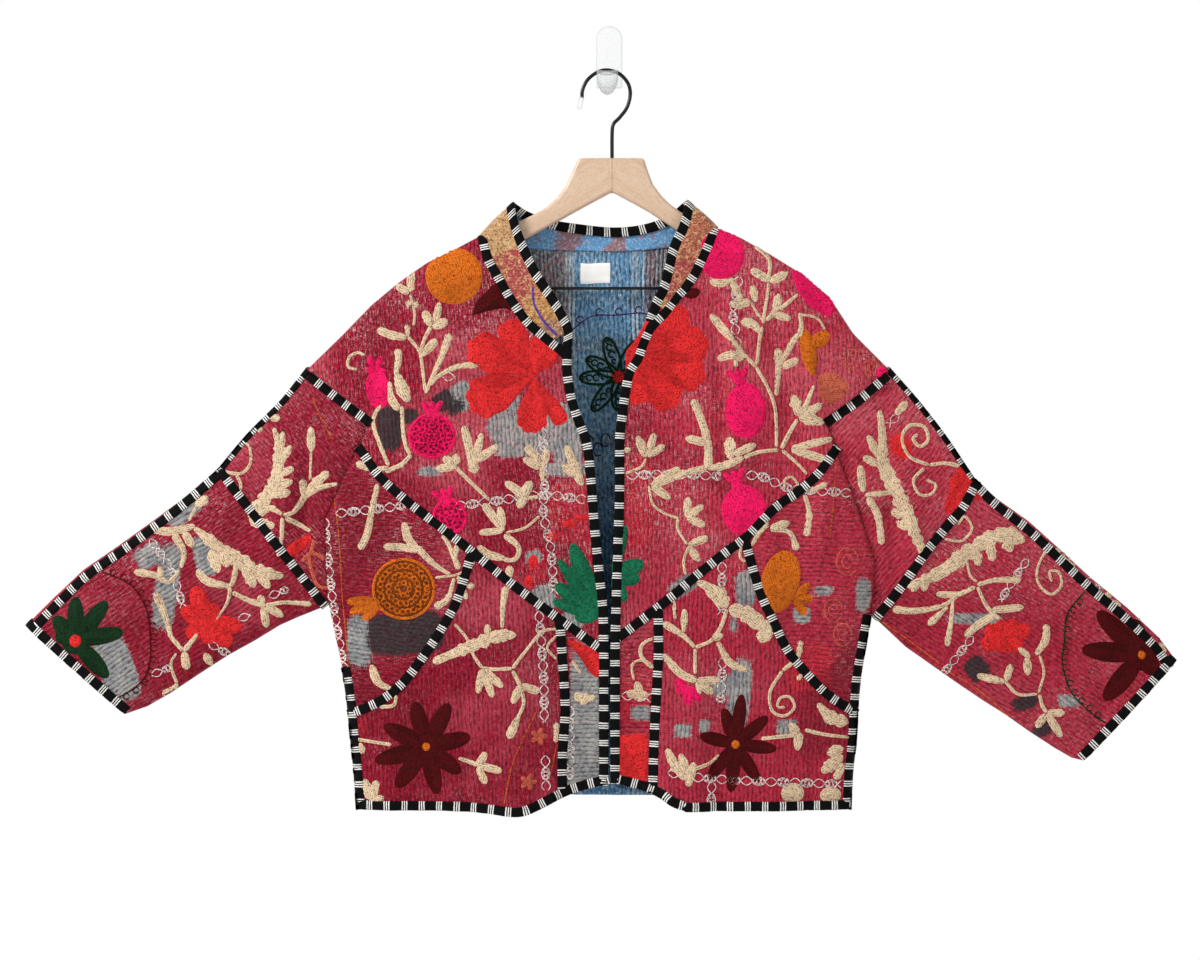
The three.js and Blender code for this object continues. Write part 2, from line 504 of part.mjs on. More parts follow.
const frontBindings = [
  { name: 'centre_front_binding_right', line: CENTRE_FRONT_RIGHT, keepClear: [clearOfCollarTape] },
  { name: 'centre_front_binding_left', line: CENTRE_FRONT_LEFT, keepClear: [clearOfCollarTape] },
  { name: 'hem_binding_right', line: hemRight },
  { name: 'hem_binding_left', line: hemLeft },
  { name: 'side_binding_right', line: sideRight, keepIn: bodyBlock },
  { name: 'side_binding_left', line: sideLeft, keepIn: bodyBlock },
  { name: 'collar_seam_binding_right', line: COLLAR_SEAM_RIGHT, keepClear: [clearOfCollarTape] },
  { name: 'collar_seam_binding_left', line: COLLAR_SEAM_LEFT, keepClear: [clearOfCollarTape] },
  { name: 'yoke_binding_right', line: YOKE_RIGHT, keepIn: bodyBlock },
  { name: 'yoke_binding_left', line: YOKE_LEFT, keepIn: bodyBlock },
  { name: 'shoulder_binding_right', line: shoulderRight, keepIn: bodyBlock },
  { name: 'shoulder_binding_left', line: shoulderLeft, keepIn: bodyBlock },
  { name: 'pocket_binding_right', line: POCKET_RIGHT },
  { name: 'pocket_binding_left', line: POCKET_LEFT },
  { name: 'strip_binding_right', line: STRIP_RIGHT },
  { name: 'strip_binding_left', line: STRIP_LEFT },
];
const frontTaken = bindLayer(frontTape, frontBindings, FRONT_LAYER);

const neckTop = -100;
const opening = block([...CENTRE_FRONT_RIGHT.slice().reverse(), ...COLLAR_SEAM_RIGHT.slice(1),
  [COLLAR_SEAM_RIGHT.at(-1)[0], neckTop], [COLLAR_SEAM_LEFT.at(-1)[0], neckTop],
  ...COLLAR_SEAM_LEFT.slice(1).reverse(), ...CENTRE_FRONT_LEFT], ...FRONT_LAYER);
let frontPanels = frontCloth.subtract(opening).subtract(clearOfCollarTape);
for (const taken of frontTaken) frontPanels = frontPanels.subtract(taken);
addPanels(frontPanels, [
  ['upper_front_right', -160, -395], ['upper_front_left', 140, -390],
  ['side_panel_right', -215, -570], ['side_panel_left', 205, -570],
  ['lower_front_right', -160, -680], ['lower_front_left', 150, -680],
  ['front_strip_right', -28, -710], ['front_strip_left', 27, -700],
], BERRY);

const backHemLine = [[-300, lastZ + BACK_HEM_RISE + inset], [300, lastZ + BACK_HEM_RISE + inset]];
const backTaken = bindLayer(backTape, [{ name: 'hem_binding_back', line: backHemLine }], BACK_LAYER);
const backSeam = COLLAR_ROWS.slice(...COLLAR_BACK_ROWS).map((row) => [row.seamX, row.seamZ]);
const backNeck = offsetLine(backSeam, -NECK_DROP);
const aboveNeck = [[backNeck.at(-1)[0], neckTop], [backNeck[0][0], neckTop]];
const backNeckCut = block([...backNeck, ...aboveNeck], ...BACK_LAYER);
addPiece('back', largest(backCloth.subtract(backNeckCut).subtract(backTaken[0])), BERRY);

// Collar and label

addPiece('collar_edge_binding', collarTape, STRIPE, 0.85);
let collar = wall(collarSurface(() => 0, clothEnd), [0, 1],
  collarRowSteps(COLLAR_FIRST_CLOTH_ROW, COLLAR_LAST_CLOTH_ROW), 0, CLOTH);
for (const line of [COLLAR_SEAM_RIGHT, COLLAR_SEAM_LEFT]) {
  collar = collar.subtract(ribbon(line, TAPE_WIDTH / 2 + SEAM_GAP, ...FRONT_LAYER));
}
addPiece('collar', largest(collar.subtract(clearOfCollarTape)), PATCHWORK);

const labelCorners = [[-1, -1], [1, -1], [1, 1], [-1, 1]].map(([acrossSign, upSign]) =>
  [LABEL.x + (acrossSign * LABEL.width) / 2, LABEL.z + (upSign * LABEL.height) / 2]);
const labelFace = CLOTH + SEAM_GAP;
const labelRows = countTo(4);
const labelBack = labelFace + LABEL.thickness;
const labelLayer = wall(backSurface, mirrored(BACK_STEPS), labelRows, -labelFace, labelBack);
addPiece('neck_label', labelLayer.intersect(block(labelCorners, ...BACK_LAYER)), LABEL_WHITE, 0.7);

// Sleeves

function addSleeve(side, rings, elbow, inward, places) {
  const steps = countTo(rings.length - 1);
  const tops = rings.map((ring) => [ring.topX, ring.topZ]);
  const cuffEnds = [[rings.at(-1).topX, rings.at(-1).topZ], [rings.at(-1).lowX, rings.at(-1).lowZ]];
  const cuffLine = extended(offsetLine(cuffEnds, inward * inset), LONG_OVERRUN);
  for (const isFront of [true, false]) {
    const layerName = isFront ? 'front' : 'back';
    const layerSide = isFront ? -1 : 1;
    const surface = sleeveSurface(rings, isFront, inward * SLEEVE_TUCK);
    const cloth = wall(surface, mirrored(SLEEVE_STEPS), steps, 0, CLOTH, layerSide).subtract(clearOfBody);
    const tapeLayer = wall(surface, mirrored(SLEEVE_STEPS), steps, TAPE_PROUD, TAPE_INSIDE, layerSide);
    const tape = tapeLayer.subtract(clearOfBody);
    const depths = isFront ? FRONT_LAYER : BACK_LAYER;
    const bindings = [
      { name: `cuff_binding_${layerName}_${side}`, line: cuffLine },
      { name: `elbow_binding_${layerName}_${side}`, line: extended(elbow, SHORT_OVERRUN) },
    ];
    if (isFront) {
      const upperTop = offsetLine(tops.slice(0, LAST_UPPER_RING + 1), inward * THIN_TAPE_HALF);
      const lowerTop = offsetLine(tops.slice(LAST_UPPER_RING), inward * inset);
      bindings.push({
        name: `upper_sleeve_top_binding_${side}`,
        line: extended(upperTop, SHORT_OVERRUN),
        halfWidth: THIN_TAPE_HALF,
      });
      bindings.push({
        name: `lower_sleeve_top_binding_${side}`,
        line: extended(lowerTop, SHORT_OVERRUN),
      });
    }
    let panels = cloth;
    for (const taken of bindLayer(tape, bindings, depths)) panels = panels.subtract(taken);
    addPanels(panels, places.map(([name, x, z]) => [`${name}_${layerName}_${side}`, x, z]), BERRY);
  }
}

addSleeve('right', RIGHT_SLEEVE_RINGS, ELBOW_RIGHT, 1,
  [['upper_sleeve', -330, -450], ['lower_sleeve', -470, -590]]);
addSleeve('left', LEFT_SLEEVE_RINGS, ELBOW_LEFT, -1,
  [['upper_sleeve', 310, -460], ['lower_sleeve', 450, -610]]);

// Hanger

function alongX(radius, from, to, z, sides) {
  const geometry = new THREE.CylinderGeometry(radius, radius, to - from, sides);
  geometry.rotateZ(Math.PI / 2);
  geometry.translate((from + to) / 2, MIDDLE_Y, z);
  return solidOf(geometry);
}

const armLineLeft = offsetLine(leftEnds.slice(0, 4), -WOOD.clearance).slice(0, 3);
const armLineRight = offsetLine(rightEnds.slice(0, 4), WOOD.clearance).slice(0, 3);
const woodOutline = [...WOOD_NECK, ...armLineLeft, ...WOOD_LEFT_END, ...WOOD_UNDERSIDE, ...WOOD_RIGHT_END,
  ...armLineRight.reverse()];
const woodShape = new THREE.Shape(woodOutline.map(([x, z]) => new THREE.Vector2(x, z)));
const woodGeometry = new THREE.ExtrudeGeometry(woodShape, {
  depth: WOOD.thickness - 2 * WOOD.edgeRound,
  bevelThickness: WOOD.edgeRound,
  bevelSize: WOOD.edgeRound,
  bevelOffset: -WOOD.edgeRound,
  bevelSegments: 1,
});
woodGeometry.rotateX(Math.PI / 2);
woodGeometry.translate(0, MIDDLE_Y + WOOD.thickness / 2 - WOOD.edgeRound, 0);
const barHole = alongX(BAR.radius + BAR.hole, BAR.from - BAR.hole, BAR.to + BAR.hole, BAR.z, 10);
addPiece('hanger_wood', solidOf(woodGeometry).subtract(barHole), BEECH, 0.55);
addPiece('trouser_bar', alongX(BAR.radius, BAR.from, BAR.to, BAR.z, 10), WIRE_BLACK, 0.35, 0.6);

function rod(path, radius, steps) {
  const curve = new THREE.CatmullRomCurve3(path.map(([x, z]) => new THREE.Vector3(x, MIDDLE_Y, z)));
  const section = new THREE.Shape().absarc(0, 0, radius, 0, 2 * Math.PI);
  const geometry = new THREE.ExtrudeGeometry(section, { extrudePath: curve, steps, curveSegments: 4 });
  return solidOf(geometry);
}

addPiece('hanger_hook', rod(WIRE_PATH, WIRE_RADIUS, 26), WIRE_BLACK, 0.3, 0.7);
addPiece('hook_tip', rod(TIP_PATH, TIP_RADIUS, 5), CLEAR, 0.2);

// Wall hook

const plateShape = new THREE.Shape();
plateShape.moveTo(-PLATE.halfWidth, PLATE.bottom);
plateShape.lineTo(PLATE.halfWidth, PLATE.bottom);
plateShape.lineTo(PLATE.halfWidth, PLATE.top - PLATE.halfWidth);
plateShape.absarc(0, PLATE.top - PLATE.halfWidth, PLATE.halfWidth, 0, Math.PI);
plateShape.closePath();
const plate = block(plateShape.getPoints(8).slice(0, -1).map((p) => [p.x, p.y]), -PLATE.thickness, 0);

const lipShape = new THREE.Shape(LIP_PROFILE.map(([y, z]) => new THREE.Vector2(y, z)));
const lipGeometry = new THREE.ExtrudeGeometry(lipShape, { depth: LIP.width, bevelEnabled: false });
lipGeometry.applyMatrix4(new THREE.Matrix4().makeBasis(
  new THREE.Vector3(0, 1, 0), new THREE.Vector3(0, 0, 1), new THREE.Vector3(1, 0, 0)));
lipGeometry.translate(LIP.x - LIP.width / 2, 0, 0);
const lipRadius = LIP.width / 2;
const lipFace = new THREE.Shape();
lipFace.moveTo(LIP.x - lipRadius, LIP.bottom + lipRadius);
lipFace.absarc(LIP.x, LIP.bottom + lipRadius, lipRadius, Math.PI, 2 * Math.PI);
lipFace.lineTo(LIP.x + lipRadius, LIP.top);
lipFace.lineTo(LIP.x - lipRadius, LIP.top);
const lipOutline = lipFace.getPoints(8).slice(1).map((p) => [p.x, p.y]);
const lip = solidOf(lipGeometry).intersect(block(lipOutline, NEAR_Y, FAR_Y));
addPiece('wall_hook', plate.add(lip), CLEAR, 0.15);

export default jacket;
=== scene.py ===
"""Looks of the kantha jacket on its hanger: quilted cloth, striped bindings, chain-stitched flowers."""
import bpy
import math
import random
import numpy as np
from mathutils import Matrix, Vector, noise
from mathutils.bvhtree import BVHTree


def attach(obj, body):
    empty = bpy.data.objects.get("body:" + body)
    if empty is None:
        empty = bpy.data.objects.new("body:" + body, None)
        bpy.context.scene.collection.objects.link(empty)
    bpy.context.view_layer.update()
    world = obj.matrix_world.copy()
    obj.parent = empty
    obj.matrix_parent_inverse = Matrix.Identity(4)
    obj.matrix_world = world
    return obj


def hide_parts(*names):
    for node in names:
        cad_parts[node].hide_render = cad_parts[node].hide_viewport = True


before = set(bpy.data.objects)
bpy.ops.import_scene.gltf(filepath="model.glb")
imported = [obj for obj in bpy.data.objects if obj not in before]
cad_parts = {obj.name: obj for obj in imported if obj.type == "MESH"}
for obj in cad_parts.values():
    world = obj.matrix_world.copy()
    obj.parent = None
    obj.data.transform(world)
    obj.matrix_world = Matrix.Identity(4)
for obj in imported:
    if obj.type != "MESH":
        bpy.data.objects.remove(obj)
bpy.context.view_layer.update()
random.seed(7)
MM = 0.001


# Nodes of the materials: each helper makes one, or a few, and gives back the socket that carries the result
def feed(made, **inputs):
    """A node's sockets, by name or by number after an i, joined to other nodes or given their values."""
    for name, value in inputs.items():
        key = int(name[1:]) if name[1:].isdigit() else name.replace("_", " ")
        if isinstance(value, bpy.types.NodeSocket):
            made.id_data.links.new(value, made.inputs[key])
        else:
            made.inputs[key].default_value = value
    return made


def node(tree, kind, settings=(), **inputs):
    made = tree.nodes.new("ShaderNode" + kind)
    for name, value in dict(settings).items():
        setattr(made, name, value)
    return feed(made, **inputs)


def tree_of(*values):
    return next(value.id_data for value in values if isinstance(value, bpy.types.NodeSocket))


def sums(operation, first, second=0.0):
    return node(tree_of(first, second), "Math", {"operation": operation}, i0=first, i1=second).outputs[0]


def plus(first, second):
    return sums("ADD", first, second)


def minus(first, second):
    return sums("SUBTRACT", first, second)


def times(first, second):
    return sums("MULTIPLY", first, second)


def rest_of(value):
    return sums("SUBTRACT", 1.0, value)


def size_of(value):
    return sums("ABSOLUTE", value)


def blend(factor, first, second, mode="MIX"):
    kind = {"data_type": "RGBA", "blend_type": mode}
    return node(tree_of(factor, first, second), "Mix", kind, i0=factor, i6=first, i7=second).outputs[2]


def over(base, mask, strength, shade):
    """The shade over the base where the mask is 1, as strong as is said."""
    return blend(times(mask, strength), base, shade)


def ramp(value, low, high):
    """0 below low, 1 above high, soft between."""
    return node(value.id_data, "MapRange", {"interpolation_type": "SMOOTHSTEP"}, Value=value, From_Min=low,
                From_Max=high).outputs[0]


def split(vector):
    return node(vector.id_data, "SeparateXYZ", Vector=vector).outputs


def grains(place, scale, detail=2.0, **more):
    """Soft random grain, 0 to 1, finer with a larger scale."""
    return node(place.id_data, "TexNoise", Vector=place, Scale=scale, Detail=detail, **more).outputs[0]


def bump(height, strength, distance):
    return node(height.id_data, "Bump", Height=height, Strength=strength, Distance=distance).outputs[0]


def position(tree):
    return node(tree, "NewGeometry").outputs["Position"]


def map_place(tree, name):
    return node(tree, "UVMap", {"uv_map": name}).outputs[0]


def new_material(name, **inputs):
    material = bpy.data.materials.new(name)
    material.use_nodes = True
    tree = material.node_tree
    return material, tree, feed(tree.nodes["Principled BSDF"], **inputs)


def colour(red, green, blue):
    """Screen values, 0 to 255, as the linear colour that the shader takes."""
    return tuple((v / 255) ** 2.2 for v in (red, green, blue)) + (1.0,)


# Meshes and objects
def new_mesh(name, points, faces, smooth=False):
    mesh = bpy.data.meshes.new(name)
    mesh.from_pydata(points, [], faces)
    if smooth:
        mesh.polygons.foreach_set("use_smooth", [True] * len(mesh.polygons))
    return mesh


def new_object(name, data, *materials):
    thing = bpy.data.objects.new(name, data)
    bpy.context.scene.collection.objects.link(thing)
    for material in materials:
        data.materials.append(material)
    return thing


def draw_map(mesh, map_name, places, shade_name, shades):
    """Gives each point of the mesh its place on a map and a colour."""
    corner = np.array([loop.vertex_index for loop in mesh.loops])
    mesh.uv_layers.new(name=map_name).data.foreach_set("uv", np.array(places)[corner].ravel())
    mesh.color_attributes.new(shade_name, "FLOAT_COLOR", "POINT").data.foreach_set("color",
            np.array(shades).ravel())


def on_root(thing, slot, *stands_for):
    """Fixed to the one body, in place of the solids it dresses; its slot is not used."""
    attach(thing, "root")
    if stands_for:
        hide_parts(*stands_for)
    return thing


# Cloth of the jacket: two or three layers of thin cotton held by rows of running stitch 5 mm apart,
# which crinkle it. The map's u runs across the rows. The three masks say where the raspberry is worn
# away to pale grey, where a dark patch lies under it, and where a redder or purple one does.
ROW_GAP = 0.0046
STITCH_GAP = 0.0055


def cloth_material(name, deep, light, lining):
    material, tree, shader = new_material(name)
    place, rows = position(tree), map_place(tree, "rows")
    x, _, z = split(place)
    soft = grains(place, 9.0, 4.0)
    grain = grains(place, 70.0, 6.0, Roughness=0.7)
    # rows of stitches wander a little, and the cloth puckers between them
    wander = node(tree, "TexNoise", Vector=rows, Scale=30.0, Detail=3.0).outputs["Color"]
    shifted = node(tree, "VectorMath", {"operation": "MULTIPLY_ADD"}, i0=wander, i1=(0.009, 0.009, 0.0),
                   i2=rows)
    across, up, _ = split(shifted.outputs[0])
    row = times(across, 1 / ROW_GAP)
    across_row = times(size_of(minus(sums("FRACT", row), 0.5)), 2.0)
    along = plus(times(up, 1 / STITCH_GAP), times(sums("FLOOR", row), 0.37))
    pucker = sums("SINE", times(along, 2 * math.pi))
    streak, warp, weft = [
        grains(node(tree, "Mapping", Vector=rows, Scale=(wide, high, 1.0)).outputs[0], 1.0, detail,
               Distortion=stir)
        for wide, high, detail, stir in ((330.0, 190.0, 3.0, 0.4), (1000.0, 130.0, 2.0, 0.0),
                                         (130.0, 1000.0, 2.0, 0.0))]
    bare_here = plus(0.25, times(ramp(grains(place, 13.0, 4.0), 0.44, 0.64), 0.75))
    if lining:
        bare, dark, pale = colour(210, 216, 218), colour(28, 46, 70), colour(196, 206, 210)
        brown = blend(ramp(grain, 0.46, 0.58), colour(126, 116, 112), colour(150, 104, 102))
        base = blend(ramp(soft, 0.35, 0.65), deep, light)
        base = over(base, ramp(size_of(plus(x, 0.002)), 0.036, 0.046), 0.9, brown)
        for middle in (-0.0465, -0.0425, -0.0385, 0.026, 0.0305, 0.0365):
            stripe = rest_of(ramp(size_of(minus(x, middle)), 0.0006, 0.0017))
            base = over(base, stripe, 0.62, colour(214, 220, 220))
        bars = sums("SINE", plus(times(z, 2 * math.pi / 0.052), times(soft, 3.0)))
        base = over(base, ramp(bars, 0.35, 0.85), 0.42, colour(66, 84, 98))
        base = over(base, rest_of(ramp(z, -0.52, -0.42)), 0.5, colour(52, 100, 150))
        base = over(base, ramp(streak, 0.5, 0.7), 0.45, colour(176, 200, 214))
        streaks_here = 0.24
    else:
        bare, dark, pale = colour(216, 172, 170), colour(74, 5, 20), colour(204, 98, 112)
        base = blend(ramp(x, -0.10, 0.10), deep, light)
        base = over(base, ramp(soft, 0.46, 0.68), 0.74, colour(198, 78, 92))
        base = over(base, rest_of(ramp(soft, 0.3, 0.45)), 0.55, colour(120, 14, 36))
        base = over(base, ramp(grain, 0.5, 0.7), 0.3, colour(116, 12, 34))
        low = times(rest_of(ramp(z, -0.66, -0.40)), 0.55)
        base = blend(low, base, (0.70, 0.40, 0.60, 1), "MULTIPLY")
        masks = node(tree, "Attribute", {"attribute_name": "masks"}).outputs["Color"]
        mask = node(tree, "SeparateColor", Color=masks).outputs
        frayed = times(minus(plus(times(warp, 0.34), times(weft, 0.34)), 0.34), 2.4)
        grey = blend(ramp(grain, 0.4, 0.62), colour(124, 136, 138), colour(158, 164, 160))
        for which, shade, strength in ((2, colour(206, 40, 52), 0.36), (0, grey, 0.94),
                                       (1, colour(50, 50, 52), 0.97)):
            there = ramp(plus(mask[which], frayed), 0.42, 0.58)
            base = over(base, there, strength, shade)
        bare_here = times(times(bare_here, rest_of(low)), rest_of(times(there, 0.85)))
        streaks_here = times(rest_of(low), minus(0.26, times(there, 0.22)))
    base = over(base, times(ramp(plus(warp, times(weft, 0.55)), 0.80, 0.93), bare_here), 0.72, bare)
    base = over(base, ramp(streak, 0.52, 0.72), streaks_here, pale)
    base = over(base, rest_of(ramp(streak, 0.30, 0.50)), 0.52, dark)
    # Painted shade: the cloth is darkened along its stitch lines, where it dips between the puckers, most
    # where the streaks are dark.
    base = over(base, times(ramp(across_row, 0.58, 0.98), ramp(streak, 0.74, 0.34)), 0.66, dark)
    dash = times(ramp(pucker, 0.55, 0.9), ramp(across_row, 0.74, 0.92))
    base = over(base, times(dash, bare_here), 0.5, bare)
    height = plus(rest_of(sums("POWER", across_row, 2.0)), times(pucker, 0.22))
    for part, share in ((streak, 2.6), (soft, 2.0), (grain, 1.0)):
        height = plus(height, times(part, share))
    feed(shader, Base_Color=base, Roughness=0.88, Specular_IOR_Level=0.16, Sheen_Weight=0.02,
         Sheen_Roughness=0.45,
         Normal=bump(height, 0.95, 0.0011))
    return material


raspberry = cloth_material("raspberry kantha", colour(150, 12, 46), colour(186, 44, 66), False)
blue_lining = cloth_material("blue lining", colour(88, 138, 178), colour(118, 164, 198), True)


# Sections of the jacket's body, millimetres, as seen from the front: ends of each row and how far the
# cloth stands in front of the hanger's plane and behind it
MIDDLE = -20.0
TO_WALL = 18.4  # the back goes no nearer to the wall, so that its stitches just touch it
BODY = np.array([
    (-135, -193, 112, -185, 18, 17), (-165, -209, 141, -197, 18, 17), (-196, -224, 173, -215, 19, 17),
    (-226, -245, 207, -236, 20, 17), (-255, -269, 238, -263, 21, 17), (-287, -302, 262, -300, 22, 17),
    (-325, -339, 301, -339, 23, 17), (-290, -365, 267, -366, 24, 16), (-256, -391, 231, -391, 25, 16),
    (-266, -419, 240, -419, 26, 16), (-284, -455, 253, -455, 27, 16), (-303, -498, 269, -498, 28, 16),
    (-303, -545, 284, -545, 29, 16), (-301, -591, 281, -601, 30, 15), (-294, -625, 275, -635, 31, 15),
    (-287, -657, 270, -665, 32, 14), (-282, -689, 267, -695, 32, 14), (-278, -729, 265, -733, 33, 13),
    (-274, -769, 261, -771, 33, 13), (-271, -809, 259, -809, 34, 12)], float)
FRONT_HEM_RISE = np.array([(-280, 0), (-176, 0), (-134, -2), (-98, -5), (-78, 1), (-56, 12), (-32, 21),
                           (-1, 29),
                           (3, 30), (21, 26), (41, 20), (57, 13), (70, 8), (80, 0), (260, 0)], float)
BACK_HEM_RISE = 13.0

# Folds from the top place to the bottom one: x, z, x, z, half width, height, and 1 if it runs out at the hem
FRONT_FOLDS = [
    (-112, -520, -98, -800, 26, 9, 1), (-40, -480, -28, -780, 30, -7, 1), (-205, -560, -190, -800, 28, -4, 1),
    (-140, -270, -235, -480, 24, 4, 0), (92, -540, 84, -800, 22, 9, 1), (38, -500, 32, -780, 28, -6, 1),
    (140, -250, 165, -700, 24, 6, 0), (195, -290, 210, -620, 22, -5, 0)]
BACK_FOLDS = [
    (-150, -420, -170, -790, 40, -4, 1), (10, -380, 20, -790, 44, -3, 1), (140, -430, 165, -790, 38, -4, 1)]
# Creases, smaller and sharper
FRONT_CREASES = [
    (-236, -300, -262, -400, 9, -2.4, 0), (-215, -330, -250, -455, 11, 2.2, 0),
    (-270, -440, -200, -560, 12, -2.2, 0), (-292, -520, -225, -640, 13, 2.4, 0),
    (-286, -600, -215, -610, 9, -1.8, 0), (-160, -610, -150, -790, 10, -2.6, 1),
    (-62, -640, -64, -800, 9, 2.0, 1), (-90, -330, -70, -520, 16, -1.8, 0),
    (-240, -690, -236, -800, 12, 2.4, 1), (112, -250, 126, -480, 8, -2.8, 0),
    (124, -240, 140, -420, 7, 2.4, 0), (172, -275, 196, -430, 9, -2.4, 0), (206, -300, 226, -400, 9, 2.6, 0),
    (150, -430, 158, -640, 12, -2.2, 0), (236, -430, 216, -590, 12, 2.6, 0),
    (256, -500, 190, -620, 10, -2.6, 0), (272, -590, 206, -700, 11, 2.2, 0),
    (96, -640, 118, -800, 10, -2.6, 1), (60, -640, 62, -800, 8, 2.4, 1), (170, -650, 176, -800, 13, 2.0, 1),
    (70, -330, 66, -560, 15, -1.6, 0), (222, -700, 216, -805, 11, -2.2, 1)]
BACK_CREASES = [
    (-230, -300, -258, -410, 11, -2.4, 0), (-270, -470, -190, -590, 13, 2.4, 0),
    (-250, -600, -244, -790, 12, -2.4, 1), (-80, -300, -70, -600, 17, 1.8, 0),
    (-40, -560, -52, -790, 14, 2.4, 1), (60, -330, 80, -620, 18, -1.8, 0), (82, -600, 96, -790, 12, 2.2, 1),
    (200, -290, 226, -400, 11, 2.2, 0), (256, -480, 190, -610, 13, -2.4, 0),
    (226, -640, 214, -790, 12, 2.2, 1), (0, -250, 8, -420, 20, 1.6, 0)]


def rows_at(rows, t):
    first = np.clip(np.floor(t).astype(int), 0, len(rows) - 2)
    part = (t - first)[..., None]
    return rows[first] * (1 - part) + rows[first + 1] * part


def round_out(s):
    return np.clip(4 * s * (1 - s), 0, None) ** 0.3


def folded(folds, x, z):
    height = np.zeros_like(x)
    for top_x, top_z, low_x, low_z, half, rise, to_hem in folds:
        along = (x - top_x) * (low_x - top_x) + (z - top_z) * (low_z - top_z)
        along = np.clip(along / ((low_x - top_x) ** 2 + (low_z - top_z) ** 2), 0, 1)
        strength = along * along * (3 - 2 * along) if to_hem else np.sin(np.pi * along)
        aside = (x - top_x - (low_x - top_x) * along) / half
        height += rise * strength * np.exp(-aside * aside)
    return height


def crumpled(x, z, seed, amount):
    """The quilt's own unevenness."""
    flat = np.array([noise.noise((px / 17, pz / 17, seed)) + 0.6 * noise.noise((px / 7, pz / 7, seed + 9))
                     for px, pz in zip(x.ravel(), z.ravel())])
    return amount * flat.reshape(x.shape)


def body_layer(front, s, t):
    """Places, in metres, of the front or back layer on a grid of s, across, and t, down the rows."""
    s, t = np.meshgrid(s, t)
    row = rows_at(BODY, t)
    x = row[..., 0] * (1 - s) + row[..., 2] * s
    level = row[..., 1] * (1 - s) + row[..., 3] * s
    bend = np.clip((t - 14) / 5, 0, None) ** 1.25
    rise = np.interp(x, FRONT_HEM_RISE[:, 0], FRONT_HEM_RISE[:, 1]) if front else BACK_HEM_RISE
    z = level + bend * rise
    edge = 15 * round_out(np.clip((-339 - level) / 252, 0, 1))
    full = row[..., 4] if front else row[..., 5]
    folds, creases, seed = (FRONT_FOLDS, FRONT_CREASES, 1.5) if front else (BACK_FOLDS, BACK_CREASES, 6.5)
    waves = folded(folds, x, z) + 2.0 * folded(creases, x, z) + crumpled(x, z, seed, 1.1)
    depth = 0.15 + edge + (full - edge + waves) * round_out(s)
    y = MIDDLE - depth if front else MIDDLE + np.minimum(depth, TO_WALL)
    return np.stack([x, y, z], -1) * MM


def side_steps(count):
    even = np.linspace(0, 1, count)
    return 0.62 * even + 0.38 * (0.5 - 0.5 * np.cos(np.pi * even))


def grid_faces(rows, columns):
    a = (np.arange(rows - 1)[:, None] * columns + np.arange(columns - 1)[None, :]).ravel()
    return np.stack([a, a + 1, a + 1 + columns, a + columns], -1)


def off_line(line, x, z):
    """How far each place is from the line, and on which side of it: above 0 is its left."""
    best = np.full(x.shape, 1e9)
    side = np.zeros(x.shape)
    line = np.array(line, float)
    for index in range(len(line) - 1):
        (ax, az), (bx, bz) = line[index], line[index + 1]
        dx, dz = bx - ax, bz - az
        free_low = -1e3 if index == 0 else 0
        free_high = 1e3 if index == len(line) - 2 else 1
        part = np.clip(((x - ax) * dx + (z - az) * dz) / (dx * dx + dz * dz), free_low, free_high)
        away = np.hypot(x - ax - dx * part, z - az - dz * part)
        nearer = away < best
        best = np.where(nearer, away, best)
        side = np.where(nearer, np.sign(dx * (z - az) - dz * (x - ax)), side)
    return best * side


# Middle lines of the bindings, x and z in millimetres
CENTRE_FRONT_RIGHT = [(-45, -317), (-45, -342), (-41, -368), (-35, -388), (-24, -419), (-20, -453),
                      (-16, -505),
                      (-11, -556), (-7, -596), (-6, -640), (-6, -700), (-6, -770), (-6, -795)]
CENTRE_FRONT_LEFT = [(44, -295), (37, -310), (31, -327), (22, -342), (17, -365), (14, -385), (11, -414),
                     (11, -465),
                     (9, -531), (7, -596), (6, -650), (6, -700), (6, -770), (6, -795)]
COLLAR_SEAM_RIGHT = [(-48, -322), (-63, -310), (-75, -300), (-89, -287), (-104, -266), (-118, -242),
                     (-130, -220),
                     (-136, -196)]
COLLAR_SEAM_LEFT = [(43, -296), (51, -287), (60, -278), (70, -264), (80, -253), (90, -239), (99, -221),
                    (107, -203), (112, -188)]
YOKE_RIGHT = [(-264, -427), (-245, -453), (-220, -476), (-189, -500), (-149, -531), (-123, -552),
              (-98, -572), (-63, -598), (-38, -616), (-8, -638)]
YOKE_LEFT = [(239, -428), (223, -450), (202, -469), (176, -487), (145, -518), (125, -533),
             (96, -556), (70, -578), (41, -601), (9, -625)]
POCKET_RIGHT = [(-146, -533), (-154, -560), (-162, -585), (-176, -611), (-196, -642), (-220, -673),
                (-247, -694),
                (-280, -708)]
POCKET_LEFT = [(144, -520), (152, -549), (161, -578), (174, -606), (189, -637), (210, -663), (233, -686),
               (265, -707)]
STRIP_RIGHT = [(-53, -605), (-50, -647), (-47, -700), (-50, -751), (-50, -790)]
STRIP_LEFT = [(52, -593), (52, -647), (49, -700), (47, -751), (46, -790)]
ELBOW_RIGHT = [(-428, -433), (-413, -452), (-310, -585), (-302, -597)]
ELBOW_LEFT = [(404, -440), (392, -462), (377, -488), (359, -509), (336, -537), (310, -574), (280, -612)]

